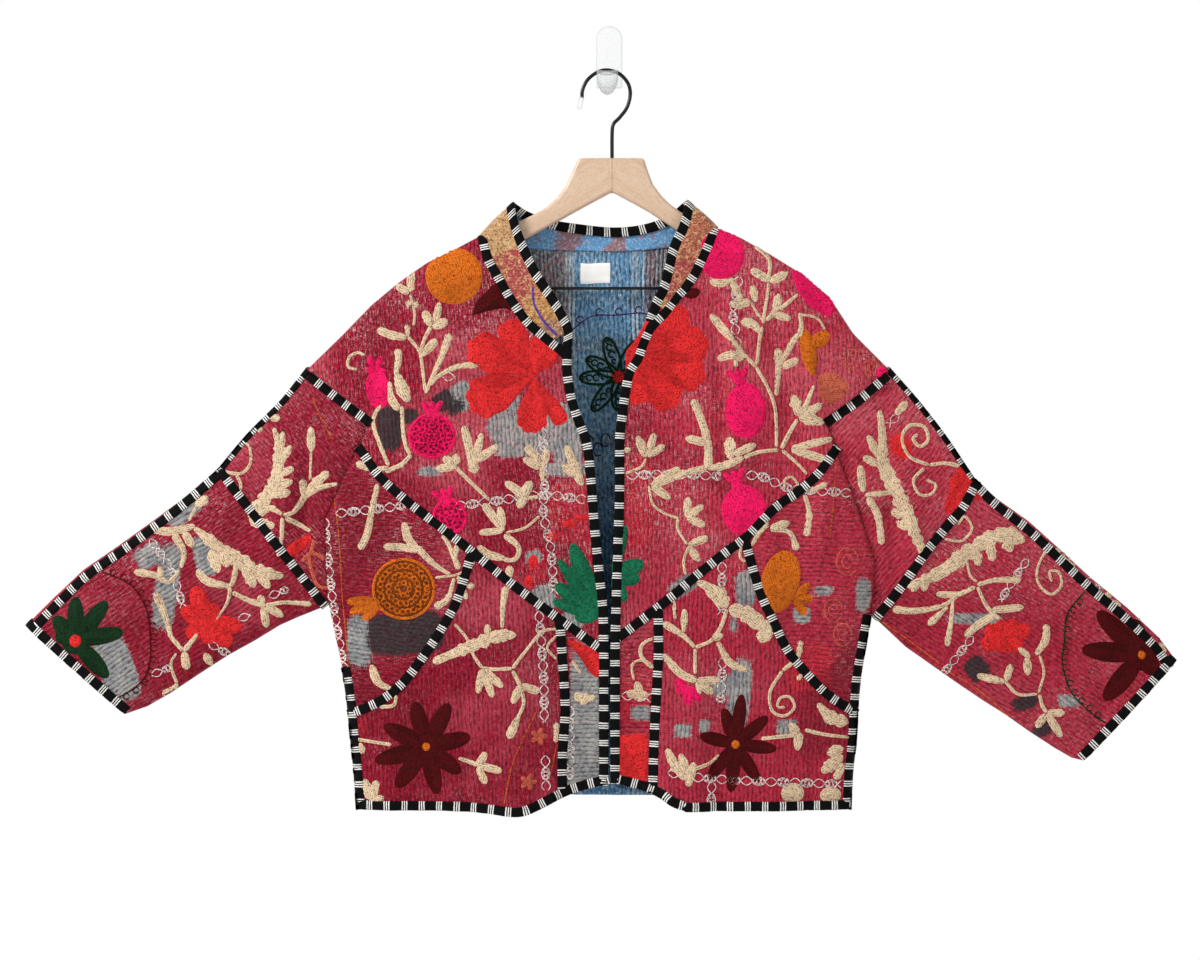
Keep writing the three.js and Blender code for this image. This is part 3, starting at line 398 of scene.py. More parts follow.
# Worn and patched places for each mask: x, z, half width, half height, and the turn in degrees if any
WORN = {
    "pale": [
        (-86, -409, 40, 22, 8), (-113, -387, 12, 26, -25), (-47, -411, 16, 36, 8), (-158, -368, 15, 14, 40),
        (-49, -446, 26, 7), (-267, -629, 13, 27, 2), (-22, -720, 20, 92), (-29, -751, 18, 50, -4),
        (-69, -583, 12, 14, 20), (-40, -606, 12, 9), (145, -572, 11, 19), (138, -684, 12, 36, -6),
        (78, -570, 15, 9, 30), (271, -580, 8, 18), (228, -575, 10, 5), (189, -720, 11, 8), (78, -723, 9, 7),
        (34, -705, 11, 8), (132, -611, 4, 8), (205, -601, 9, 9), (-527, -659, 19, 36, 20),
        (-473, -571, 12, 46, -8), (-492, -538, 16, 12, 30), (-455, -492, 20, 9, 35), (-432, -538, 12, 22, 10),
        (491, -693, 11, 7), (390, -605, 27, 6), (-81, -539, 9, 7, 20), (-191, -448, 12, 5),
        (125, -676, 18, 10, 10), (101, -718, 6, 7)],
    "dark": [
        (-235, -402, 14, 24), (-212, -389, 8, 8), (-217, -620, 41, 23, 5), (393, -659, 12, 13, 40),
        (445, -695, 14, 8, 20), (465, -724, 12, 7, 30), (-177, -373, 12, 10, 38), (-163, -380, 10, 6, 38)],
    "red": [
        (-33, -500, 22, 7), (-77, -549, 11, 22), (-22, -642, 20, 18), (26, -479, 20, 50), (29, -689, 22, 26),
        (310, -421, 12, 16), (-334, -531, 16, 8, 40), (-266, -720, 6, 8), (294, -341, 13, 8),
        (213, -655, 24, 26), (-40, -492, 26, 34), (-5, -492, 26, 60)],
}
BACK_WORN = {
    "pale": [
        (96, -330, 38, 15, 10), (-30, -620, 15, 62, 3), (-190, -560, 22, 11, 30), (236, -600, 11, 30),
        (40, -455, 9, 18), (-120, -735, 26, 9), (150, -770, 18, 12, 20), (-420, -560, 12, 34, 35),
        (430, -600, 30, 12, 30), (500, -690, 12, 10)],
    "dark": [
        (-60, -420, 20, 12, 20), (178, -470, 24, 15, 5), (350, -480, 12, 10)],
    "red": [
        (-200, -330, 26, 20), (60, -690, 40, 26), (-230, -690, 24, 30), (-500, -640, 20, 16)],
}


def worn_at(x, z, back=False):
    """For each of the three masks, 0.5 at a patch's edge, 1 from 5 mm inside it and 0 from 5 mm outside."""
    masks = []
    for name in ("pale", "dark", "red"):
        here = np.zeros_like(x)
        for px, pz, half, tall, *turn in (BACK_WORN if back else WORN)[name]:
            cos, sin = math.cos(math.radians(sum(turn))), math.sin(math.radians(sum(turn)))
            u, v = (x - px) * cos + (z - pz) * sin, (z - pz) * cos - (x - px) * sin
            away = ((abs(u) / half) ** 4 + (abs(v) / tall) ** 4) ** 0.25
            here = np.maximum(here, np.clip(0.5 - (away - 1) * min(half, tall) / 10, 0, 1))
        masks.append(here)
    return masks


def cloth_piece(name, places, faces, grain, outer=raspberry, inner=blue_lining, back=False, thickness=1.9,
                slot="kantha_cloth"):
    """A thin shell on a grid of places, with the map of its stitch rows and the masks of its worn spots."""
    used = np.unique(faces)
    renumber = np.zeros(len(places), int)
    renumber[used] = np.arange(len(used))
    places, faces = places[used], renumber[faces]
    mesh = new_mesh(name + "_cloth", places.tolist(), faces.tolist(), smooth=True)
    turn = math.radians(grain)
    u = places[:, 0] * math.cos(turn) + places[:, 2] * math.sin(turn)
    v = -places[:, 0] * math.sin(turn) + places[:, 2] * math.cos(turn)
    masks = worn_at(places[:, 0] / MM, places[:, 2] / MM, back)
    draw_map(mesh, "rows", np.stack([u, v], -1), "masks", np.stack(masks + [np.ones(len(places))], -1))
    thing = new_object(name + "_cloth", mesh, outer, inner)
    shell = thing.modifiers.new("thickness", "SOLIDIFY")
    shell.thickness = thickness * MM
    shell.offset = -1
    shell.material_offset = 1
    shell.material_offset_rim = 1
    return on_root(thing, slot, name)


# Body, front: one layer cut by the yoke, pocket and strip seams into eight panels
def middles(grid, faces):
    return (grid[faces].mean(1) / MM)[:, [0, 2]].T


front_s, front_t = side_steps(172), np.linspace(0, 19, 208)
front_grid = body_layer(True, front_s, front_t).reshape(-1, 3)
front_faces = grid_faces(len(front_t), len(front_s))
fx, fz = middles(front_grid, front_faces)
HIDDEN = 2.4  # cloth that is left out under the middle of a binding
above_collar_right = (off_line(COLLAR_SEAM_RIGHT, fx, fz) <= HIDDEN) & (fz >= -322)
above_collar_left = (off_line(COLLAR_SEAM_LEFT, fx, fz) >= -HIDDEN) & (fz >= -300)
on_right = (off_line(CENTRE_FRONT_RIGHT, fx, fz) < -HIDDEN) & ~above_collar_right & (fx < -3)
on_left = (off_line(CENTRE_FRONT_LEFT, fx, fz) > HIDDEN) & ~above_collar_left & (fx > 3)
yoke_right, yoke_left = off_line(YOKE_RIGHT, fx, fz), off_line(YOKE_LEFT, fx, fz)
pocket_right, pocket_left = off_line(POCKET_RIGHT, fx, fz), off_line(POCKET_LEFT, fx, fz)
strip_right, strip_left = off_line(STRIP_RIGHT, fx, fz), off_line(STRIP_LEFT, fx, fz)
below_right, below_left = on_right & (yoke_right < -HIDDEN), on_left & (yoke_left > HIDDEN)
off_pocket_right = (pocket_right > HIDDEN) | (fx > -144)
off_pocket_left = (pocket_left < -HIDDEN) | (fx < 142)
sheets = {}
for name, kept, grain, cut, area in (
        # name, faces, angle of the stitch rows, width and length of the cut, its area
        ("upper_front_right", on_right & (yoke_right > HIDDEN), 6, (0.33, 0.45), 0.0705),
        ("upper_front_left", on_left & (yoke_left < -HIDDEN), 0, (0.30, 0.45), 0.0695),
        ("side_panel_right", below_right & (pocket_right < -HIDDEN) & (fx < -144), 84, (0.155, 0.285),
         0.0274),
        ("side_panel_left", below_left & (pocket_left > HIDDEN) & (fx > 142), 88, (0.14, 0.28), 0.0240),
        ("lower_front_right", below_right & off_pocket_right & (strip_right < -HIDDEN) & (fx < -48), 3,
         (0.235, 0.28), 0.0436),
        ("lower_front_left", below_left & off_pocket_left & (strip_left > HIDDEN) & (fx > 44), -2,
         (0.22, 0.285), 0.0435),
        ("front_strip_right", below_right & (strip_right > HIDDEN) & (fx > -56), 90, (0.044, 0.19), 0.0062),
        ("front_strip_left", below_left & (strip_left < -HIDDEN) & (fx < 56), 90, (0.044, 0.195), 0.0067)):
    sheets[name] = (cloth_piece(name, front_grid, front_faces[kept][:, ::-1], grain), cut, area)

# Body, back: one piece, red outside and blue inside, open at the neck
back_s, back_t = side_steps(150), np.linspace(0, 19, 176)
back_grid = body_layer(False, back_s, back_t).reshape(-1, 3)
back_faces = grid_faces(len(back_t), len(back_s))
BACK_NECK = [(-140, -193), (-136, -194), (-118, -202), (-85, -207), (-40, -209), (6, -210), (44, -208),
             (86, -201),
             (113, -187), (116, -186)]
bx, bz = middles(back_grid, back_faces)
below_neck = (off_line(BACK_NECK, bx, bz) < 0) | (bx < -136) | (bx > 113)
sheets["back"] = (cloth_piece("back", back_grid, back_faces[below_neck], 2, back=True), (0.64, 0.63), 0.322)

# Sleeves: a tube of two layers each, cut at the elbow seam. Rings from armhole to cuff: a point on the top
# seam, one on the underarm seam, half the thickness
SLEEVES = {
    "right": np.array([
        (-322, -335, -300, -590, 15), (-350, -370, -314, -596, 15), (-388, -408, -334, -604, 15),
        (-420, -446, -354, -613, 14), (-455, -475, -380, -629, 14), (-490, -501, -409, -645, 13),
        (-529, -529, -440, -665, 13), (-564, -553, -470, -685, 13), (-596, -583, -496, -700, 13),
        (-626, -613, -519, -708, 14)], float),
    "left": np.array([
        (298, -335, 280, -600, 15), (330, -371, 297, -616, 15), (359, -408, 318, -636, 15),
        (390, -454, 345, -655, 14),
        (416, -477, 372, -674, 14), (450, -501, 400, -693, 14), (480, -528, 424, -708, 14),
        (517, -562, 451, -727, 14),
        (556, -594, 477, -744, 14), (590, -626, 496, -755, 15), (608, -650, 508, -758, 16)], float),
}
SLEEVE_CREASES = {
    "right": [
        (-318, -400, -330, -560, 8, -2.4, 0), (-335, -420, -372, -600, 12, 2.4, 0),
        (-350, -470, -440, -560, 10, -2.0, 0), (-380, -520, -480, -620, 12, 2.2, 0),
        (-430, -600, -540, -640, 9, -2.4, 0), (-470, -560, -560, -600, 12, 2.0, 0),
        (-400, -630, -470, -670, 8, 2.2, 0), (-560, -600, -530, -690, 10, -2.0, 0)],
    "left": [
        (296, -400, 308, -580, 8, -2.4, 0), (312, -420, 340, -610, 12, 2.4, 0),
        (330, -470, 420, -560, 10, -2.2, 0), (350, -560, 450, -640, 12, 2.2, 0),
        (400, -620, 500, -700, 10, -2.4, 0), (440, -560, 540, -640, 12, 2.2, 0),
        (380, -660, 450, -710, 8, 2.2, 0), (540, -640, 520, -740, 10, -2.0, 0)],
}


def sleeve_layer(side, front, s, t):
    rings = SLEEVES[side]
    outer = BODY[6:14, [0, 1] if side == "right" else [2, 3]][::-1]
    s, t = np.meshgrid(s, t)
    ring = rows_at(rings, t)
    straight_x = rings[0, 0] * (1 - s) + rings[0, 2] * s
    straight_z = rings[0, 1] * (1 - s) + rings[0, 3] * s
    bend = np.interp(straight_z, outer[:, 1], outer[:, 0]) - straight_x + (1.5 if side == "right" else -1.5)
    ease = np.clip(1 - t / 4, 0, None) ** 2
    x = ring[..., 0] * (1 - s) + ring[..., 2] * s + ease * bend
    z = ring[..., 1] * (1 - s) + ring[..., 3] * s
    swell = 2.0 * folded(SLEEVE_CREASES[side], x, z) * (1 if front else -1)
    swell = swell + crumpled(x, z, 3.5 if front else 8.5, 1.1) - 1.6 * np.exp(-(t / 0.12) ** 2)
    depth = 0.15 + (ring[..., 4] + swell) * round_out(s)
    y = MIDDLE - depth if front else MIDDLE + np.minimum(depth, TO_WALL)
    return np.stack([x, y, z], -1) * MM


sleeve_grids = {}
for side, turn, elbow, upper_area, lower_area in (("right", 1, ELBOW_RIGHT, 0.0201, 0.0438),
                                                  ("left", -1, ELBOW_LEFT, 0.0222, 0.0510)):
    for layer in ("front", "back"):
        s_steps, t_steps = side_steps(88), np.linspace(0, len(SLEEVES[side]) - 1, 112)
        grid = sleeve_layer(side, layer == "front", s_steps, t_steps).reshape(-1, 3)
        faces = grid_faces(len(t_steps), len(s_steps))
        past = off_line(elbow, *middles(grid, faces)) * turn
        if (turn > 0) == (layer == "front"):
            faces = faces[:, ::-1]
        for part, kept, grain, cut, area in (("upper_sleeve", past > HIDDEN, 42 * turn, (0.17, 0.27),
                                              upper_area),
                                             ("lower_sleeve", past < -HIDDEN, -58 * turn, (0.23, 0.32),
                                              lower_area)):
            name = f"{part}_{layer}_{side}"
            sheets[name] = (cloth_piece(name, grid, faces[kept], grain, back=layer == "back"), cut, area)
        sleeve_grids[side, layer] = (grid, faces)


# Ways to lay thread and tape on the cloth
def new_work(layer=None, facing=0, sink=0.0):
    """Thread or tape for a layer of cloth, on its front face (-1) or its back face (1); 0 leaves the net as
    it is. Sink moves it deeper, on to the face beyond."""
    return {"layer": layer, "facing": facing, "sink": sink, "points": [], "faces": [], "uvs": [],
            "shades": []}


RAY_FROM = 0.25


def laid_on(work, places, lifts):
    """Each place (x, z) put on the work's layer, lifted off it; None where there is none."""
    found = []
    facing = work["facing"]
    for (x, z), lift in zip(places, lifts):
        hit, normal, _, _ = work["layer"].ray_cast(Vector((x * MM, facing * RAY_FROM, z * MM)),
                                                   Vector((0, -facing, 0)))
        if hit is None:
            found.append(None)
            continue
        if normal.y * facing < 0:
            normal.negate()
        found.append(hit + normal * (lift * MM) + Vector((0, -facing * work["sink"] * MM, 0)))
    return found


def soft_line(points, step):
    """Places every step, in millimetres, on a soft line through the points, and how far along each is."""
    points = np.array(points, float)
    if len(points) == 2:
        points = np.array([points[0], points.mean(0), points[1]])
    padded = np.vstack([2 * points[0] - points[1], points, 2 * points[-1] - points[-2]])
    fine = []
    for index in range(1, len(padded) - 2):
        part = np.linspace(0, 1, 12, endpoint=index == len(padded) - 3)[:, None]
        fine.append(soft_between(*padded[index - 1:index + 3], part))
    fine = np.vstack(fine)
    run = run_of(fine)
    count = max(int(round(run[-1] / step)), 2)
    wanted = np.linspace(0, run[-1], count + 1)
    return np.stack([np.interp(wanted, run, fine[:, 0]), np.interp(wanted, run, fine[:, 1])], -1), wanted


def soft_between(p0, p1, p2, p3, part):
    return 0.5 * (2 * p1 + (p2 - p0) * part + (2 * p0 - 5 * p1 + 4 * p2 - p3) * part ** 2
                  + (3 * p1 - p0 - 3 * p2 + p3) * part ** 3)


def run_of(line):
    return np.concatenate([[0], np.cumsum(np.linalg.norm(np.diff(line, axis=0), axis=1))])


def sideways(line):
    ahead = np.gradient(line, axis=0)
    ahead /= np.maximum(np.hypot(ahead[:, 0], ahead[:, 1]), 1e-9)[:, None]
    return np.stack([-ahead[:, 1], ahead[:, 0]], -1)


def add_grid(work, rows, uvs, shade):
    """A net of places, None where it is left open, with its map in metres and its thread colour. The whole
    net is turned to the side that the work faces."""
    index = {}
    points, first_face = work["points"], len(work["faces"])
    for j, row in enumerate(rows):
        for i, place in enumerate(row):
            if place is not None:
                index[j, i] = len(points)
                points.append(place)
                work["uvs"].append(uvs[j][i])
                work["shades"].append(shade)
    for j in range(len(rows) - 1):
        for i in range(len(rows[0]) - 1):
            corners = [index.get(key) for key in ((j, i), (j, i + 1), (j + 1, i + 1), (j + 1, i))]
            if None not in corners:
                work["faces"].append(corners)
    seen = sum((points[face[2]] - points[face[0]]).cross(points[face[3]] - points[face[1]]).y
               for face in work["faces"][first_face:])
    if seen * work["facing"] < 0:
        work["faces"][first_face:] = [face[::-1] for face in work["faces"][first_face:]]


def finish_work(work, name, material, slot, *stands_for):
    mesh = new_mesh(name, work["points"], work["faces"], smooth=True)
    draw_map(mesh, "thread", work["uvs"], "shade", work["shades"])
    return on_root(new_object(name, mesh, material), slot, *stands_for)


# Bindings: cotton tape 10 mm wide, black with groups of three fine white stripes across it, folded over
# every edge and seam and stitched down
STRIPE_REPEAT = 0.0186
STRIPES = (0.648, 0.780, 0.912)  # their middles, as shares of the repeat


def binding_material():
    material, tree, shader = new_material("striped tape", Roughness=0.78, Specular_IOR_Level=0.12)
    along, across, _ = split(map_place(tree, "thread"))
    blur = grains(position(tree), 260.0)
    part = sums("FRACT", times(plus(along, times(minus(blur, 0.5), 0.0009)), 1 / STRIPE_REPEAT))
    stripes = [rest_of(ramp(size_of(minus(part, middle)), 0.024, 0.040)) for middle in STRIPES]
    white = sums("MAXIMUM", sums("MAXIMUM", stripes[0], stripes[1]), stripes[2])
    ribs = sums("SINE", times(along, 2 * math.pi / 0.0011))
    threads = sums("SINE", times(across, 2 * math.pi / 0.0009))
    black = blend(ramp(blur, 0.35, 0.7), colour(3, 3, 4), colour(14, 13, 15))
    pale = blend(ramp(blur, 0.35, 0.7), colour(226, 222, 216), colour(250, 248, 244))
    height = plus(plus(times(ribs, 0.6), times(threads, 0.3)), times(white, 1.2))
    feed(shader, Base_Color=blend(white, black, pale), Normal=bump(height, 0.5, 0.0003))
    return material


tape_material = binding_material()
TAPE_ACROSS = [-1.0, -0.98, -0.86, -0.45, 0.0, 0.45, 0.86, 0.98, 1.0]
TAPE_HEIGHT = [-0.6, 0.75, 1.3, 1.5, 1.6, 1.5, 1.3, 0.75, -0.6]
PLAIN = (1, 1, 1, 1)


def tape(name, layer, facing, line, half=5.0, start=0.0, rise=0.0):
    """A tape on a line, its stripes begun at start, lifted by rise where it lies over another."""
    centre, run = soft_line(line, 2.2)
    work = new_work(layer, facing)
    rows, uvs = [], []
    for spot, aside, along in zip(centre, sideways(centre), run):
        wobble = 0.25 * noise.noise((spot[0] / 9, spot[1] / 9, 4.0))
        row = laid_on(work, [spot + aside * (a * (half + wobble)) for a in TAPE_ACROSS],
                      [h + rise for h in TAPE_HEIGHT])
        known = [place for place in row if place is not None]
        if known:
            y = known[len(known) // 2].y
            beside = [Vector(((spot[0] + aside[0] * a * half) * MM, y, (spot[1] + aside[1] * a * half) * MM))
                      for a in TAPE_ACROSS]
            row = [other if place is None else place for place, other in zip(row, beside)]
        rows.append(row)
        uvs.append([((along + start) * MM, a * half * MM) for a in TAPE_ACROSS])
    add_grid(work, rows, uvs, PLAIN)
    finish_work(work, name + "_tape", tape_material, "striped_binding", name)


front_layer, back_layer = [BVHTree.FromPolygons([Vector(p) for p in grid], faces.tolist())
                           for grid, faces in ((front_grid, front_faces), (back_grid, back_faces))]
sleeve_trees = {key: BVHTree.FromPolygons([Vector(p) for p in grid], faces.tolist())
                for key, (grid, faces) in sleeve_grids.items()}
inside_right = [(x + 5, z) for x, z in BODY[13:, [0, 1]]]
inside_left = [(x - 5, z) for x, z in BODY[13:, [2, 3]]]
front_hem = [(x, -809 + rise + 5) for x, rise in FRONT_HEM_RISE]
LEFT_HEM_BEND = [(68, -798.5), (80, -802.5), (96, -804), (257, -804)]
for name, line, rise, start in (
        ("yoke_binding_right", [(-279, -407)] + YOKE_RIGHT, 0, 0),
        ("yoke_binding_left", [(252, -408)] + YOKE_LEFT, 0, 0),
        ("pocket_binding_right", POCKET_RIGHT, 0, 0), ("pocket_binding_left", POCKET_LEFT, 0, 0),
        ("strip_binding_right", STRIP_RIGHT, 0, 0), ("strip_binding_left", STRIP_LEFT, 0, 0),
        ("side_binding_right", inside_right[2:], 0.1, 0), ("side_binding_left", inside_left, 0.1, 0),
        ("hem_binding_right", [(-270, -804)] + front_hem[1:8], 0.2, 0),
        ("hem_binding_left", front_hem[8:-3] + LEFT_HEM_BEND, 0.2, 9),
        ("centre_front_binding_right", CENTRE_FRONT_RIGHT + [(-6, -778)], 0.3, 0),
        ("centre_front_binding_left", CENTRE_FRONT_LEFT + [(6, -777)], 0.3, 5),
        ("collar_seam_binding_right", COLLAR_SEAM_RIGHT, 0.3, 0),
        ("collar_seam_binding_left", COLLAR_SEAM_LEFT, 0.3, 0),
        ("shoulder_binding_right", [(-322, -345), (-288, -372), (-254, -397)], 0.2, 0),
        ("shoulder_binding_left", [(298, -345), (265, -373), (230, -397)], 0.2, 0)):
    tape(name, front_layer, -1, line, start=start, rise=rise)
tape("hem_binding_back", back_layer, 1, [(-268, -791), (-90, -791), (90, -791), (256, -791)])
for side, turn, elbow, inset_to in (("right", 1, ELBOW_RIGHT, [5, 7, 9]),
                                    ("left", -1, ELBOW_LEFT, [5, 9, 12])):
    tops, lows = SLEEVES[side][:, [0, 1]], SLEEVES[side][:, [2, 3]]
    along_cuff = (lows[-1] - tops[-1]) / np.hypot(*(lows[-1] - tops[-1]))
    inward = np.array([-along_cuff[1], along_cuff[0]]) * turn
    cuff = [tops[-1] + inward * 5 + along_cuff, (tops[-1] + lows[-1]) / 2 + inward * 5,
            lows[-1] + inward * 5 - along_cuff]
    for layer, facing in (("front", -1), ("back", 1)):
        on = sleeve_trees[side, layer]
        tape(f"cuff_binding_{layer}_{side}", on, facing, cuff, start=4 if facing > 0 else 0, rise=0.2)
        tape(f"elbow_binding_{layer}_{side}", on, facing, elbow, rise=0.1)
    down = [(low - top) / np.hypot(*(low - top)) for top, low in zip(tops, lows)]
    insets = np.interp(range(len(tops)), [3, 5, len(tops) - 1], inset_to)
    at_edge = [top + way * inset for top, way, inset in zip(tops, down, insets)]
    thin = [top + way * 3.2 for top, way in zip(tops, down)]
    tape(f"upper_sleeve_top_binding_{side}", sleeve_trees[side, "front"], -1, thin[:4], half=3.0)
    tape(f"lower_sleeve_top_binding_{side}", sleeve_trees[side, "front"], -1, at_edge[3:], rise=0.1)


# Collar: a band of brown, orange and cream brocade pieces with blue inside, its free edge bound
COLLAR = np.array([
    (-53, -318, 22, -41, -317, 23), (-63, -310, 22, -40, -296, 25), (-75, -300, 21.5, -49, -276, 25),
    (-89, -287, 21, -61, -256, 25), (-104, -266, 20, -74, -236, 23), (-118, -242, 18, -86, -212, 19),
    (-130, -218, 15.5, -96, -187, 14), (-135, -202, 13, -101, -169, 11.5), (-137, -194, 8.5, -102, -161, 7.5),
    (-137.5, -192, 0, -102.5, -159, 0), (-136, -193, -8.5, -101, -160, -8), (-118, -201, -12, -88, -168, -12),
    (-85, -206, -14.5, -66, -176, -16), (-40, -208, -16, -36, -181, -17.5), (6, -209, -16, 4, -185, -17.5),
    (44, -207, -15, 36, -182, -17), (86, -200, -13, 62, -173, -13), (113, -185, -8.5, 81, -158, -8.5),
    (114.5, -184, 0, 83, -157, 0), (114, -186, 8.5, 82, -159, 8.5), (112, -194, 13, 80, -169, 12),
    (106, -206, 15, 75, -185, 15), (97, -226, 17.5, 65, -207, 19), (86, -246, 19, 59, -232, 23),
    (72, -262, 20, 54, -252, 25), (60, -277, 21, 46, -268, 25), (50, -289, 21.5, 39, -287, 23)], float)


def collar_lines(t):
    """The collar's seam and free edge, and at each row its width and the way out of its face."""
    first = np.clip(np.floor(t).astype(int), 0, len(COLLAR) - 2)
    rows = soft_between(COLLAR[np.clip(first - 1, 0, None)], COLLAR[first], COLLAR[first + 1],
                        COLLAR[np.clip(first + 2, None, len(COLLAR) - 1)], (t - first)[:, None])
    seam = np.stack([rows[:, 0], MIDDLE - rows[:, 2], rows[:, 1]], -1)
    edge = np.stack([rows[:, 3], MIDDLE - rows[:, 5], rows[:, 4]], -1)
    width = np.linalg.norm(edge - seam, axis=1)
    out = np.cross(np.gradient(seam + edge, axis=0), edge - seam)
    out /= np.linalg.norm(out, axis=1)[:, None]
    turned = np.sign((out * np.stack([rows[:, 0] + 10, -rows[:, 2], 0 * width], -1)).sum())
    return seam, edge, width, out * turned, turned


def collar_material():
    material, tree, shader = new_material("brocade patchwork", Roughness=0.7, Sheen_Weight=0.2)
    place = position(tree)
    bent = node(tree, "TexNoise", Vector=place, Scale=30.0, Detail=2.0).outputs["Color"]
    moved = node(tree, "VectorMath", {"operation": "MULTIPLY_ADD"}, i0=bent, i1=(0.02, 0.02, 0.02), i2=place)
    cell = node(tree, "TexVoronoi", Vector=moved.outputs[0], Scale=30.0).outputs
    down = times(plus(split(cell["Position"])[2], 0.165), -1 / 0.16)
    mixed_in = times(minus(node(tree, "SeparateColor", Color=cell["Color"]).outputs[0], 0.5), 0.3)
    brocades = node(tree, "ValToRGB", Fac=plus(down, mixed_in))
    stops = brocades.color_ramp
    stops.interpolation = "CONSTANT"
    stops.elements[0].color = colour(196, 148, 98)
    stops.elements[1].position, stops.elements[1].color = 0.14, colour(184, 94, 66)
    for height, shade in ((0.36, colour(178, 64, 64)), (0.50, colour(192, 134, 70)),
                          (0.74, colour(158, 110, 84)),
                          (0.90, colour(190, 146, 92))):
        stops.elements.new(height).color = shade
    curl = grains(place, 230.0, 3.0, Distortion=1.6)
    fine = grains(place, 700.0)
    mixed = over(brocades.outputs[0], ramp(curl, 0.52, 0.60), 0.62, colour(228, 196, 138))
    mixed = over(mixed, rest_of(ramp(curl, 0.36, 0.48)), 0.7, colour(92, 40, 28))
    mixed = over(mixed, ramp(fine, 0.45, 0.7), 0.3, colour(120, 60, 38))
    stitch_rows = sums("SINE", times(split(map_place(tree, "rows"))[1], 2 * math.pi / 0.003))
    height = plus(plus(times(curl, 3.0), times(fine, 0.6)), times(stitch_rows, 0.3))
    feed(shader, Base_Color=mixed, Normal=bump(height, 0.9, 0.0010))
    return material


def collar_lining():
    material, tree, shader = new_material("mottled blue lining", Roughness=0.85)
    blotch = grains(position(tree), 34.0, 5.0, Roughness=0.7)
    fine = grains(position(tree), 420.0)
    base = blend(ramp(blotch, 0.47, 0.56), colour(96, 146, 190), colour(140, 104, 110))
    base = over(base, ramp(fine, 0.52, 0.66), 0.4, colour(40, 66, 104))
    base = over(base, rest_of(ramp(fine, 0.34, 0.46)), 0.4, colour(196, 210, 220))
    feed(shader, Base_Color=base, Normal=bump(plus(blotch, fine), 0.8, 0.0008))
    return material


seam, edge, _, out, turned = collar_lines(np.linspace(1, 25, 260))
ACROSS_COLLAR = [-0.06, *np.linspace(0, 0.88, 12)]
net = [seam + (edge - seam) * part + out * 1.4 * np.sin(np.pi * max(part, 0)) for part in ACROSS_COLLAR]
net = np.stack(net, 1) * MM
faces = grid_faces(len(net), len(ACROSS_COLLAR))
collar = cloth_piece("collar", net.reshape(-1, 3), faces if turned < 0 else faces[:, ::-1], 0,
                     collar_material(), collar_lining(), thickness=1.8, slot="collar_patchwork")
sheets["collar"] = (collar, (0.56, 0.045), 0.0172)

# The tape over the free edge: how far from the edge each line along it lies, and how far out of the collar
EDGE_FROM = [10.4, 10.2, 9.2, 5.0, 0.8, -0.4, -0.6, -0.4, 0.8, 5.0, 9.2, 10.2]
EDGE_LIFT = [0.0, 1.0, 1.4, 1.6, 1.4, 0.6, -1.0, -2.4, -3.2, -3.3, -3.1, -2.2]
seam, edge, width, out, turned = collar_lines(np.linspace(0, 26, 360))
order = 1 if turned > 0 else -1
rows, uvs = [], []
for low, high, span, away, along in zip(seam, edge, width, out, run_of(edge)):
    toward = (low - high) / span
    row = [Vector((high + toward * inset + away * lift) * MM) for inset, lift in zip(EDGE_FROM, EDGE_LIFT)]
    rows.append(row[::order])
    uvs.append([(along * MM, inset * MM) for inset in EDGE_FROM][::order])
work = new_work()
add_grid(work, rows, uvs, PLAIN)
finish_work(work, "collar_edge_tape", tape_material, "striped_binding",
                                           "collar_edge_binding")

# Label: a plain white woven tab sewn under the collar at the back
tab_material, tree, shader = new_material("white woven tab", Roughness=0.6)
weave = grains(position(tree), 900.0)
feed(shader, Base_Color=blend(weave, colour(238, 236, 232), colour(252, 251, 249)),
     Normal=bump(weave, 0.4, 0.0002))
work = new_work(back_layer, -1)
rows, uvs = [], []
for j, dz in enumerate(np.linspace(11, -11, 12)):
    lift = 2.9 if 0 < j < 11 else 1.94
    across = np.linspace(-16, 16, 17)
    rows.append(laid_on(work, [(-15 + dx, -234 + dz + 0.5 * math.sin(dx / 6)) for dx in across], [lift] * 17))
    uvs.append([(dx * MM, dz * MM) for dx in across])
add_grid(work, rows, uvs, PLAIN)
label = finish_work(work, "neck_tab", tab_material, "neck_label", "neck_label")


# Embroidery: thick cotton in chain stitch, row beside row until the shape is full, raised about 1 mm
CHAIN_ROW = 0.0024
CHAIN_LINK = 0.0038


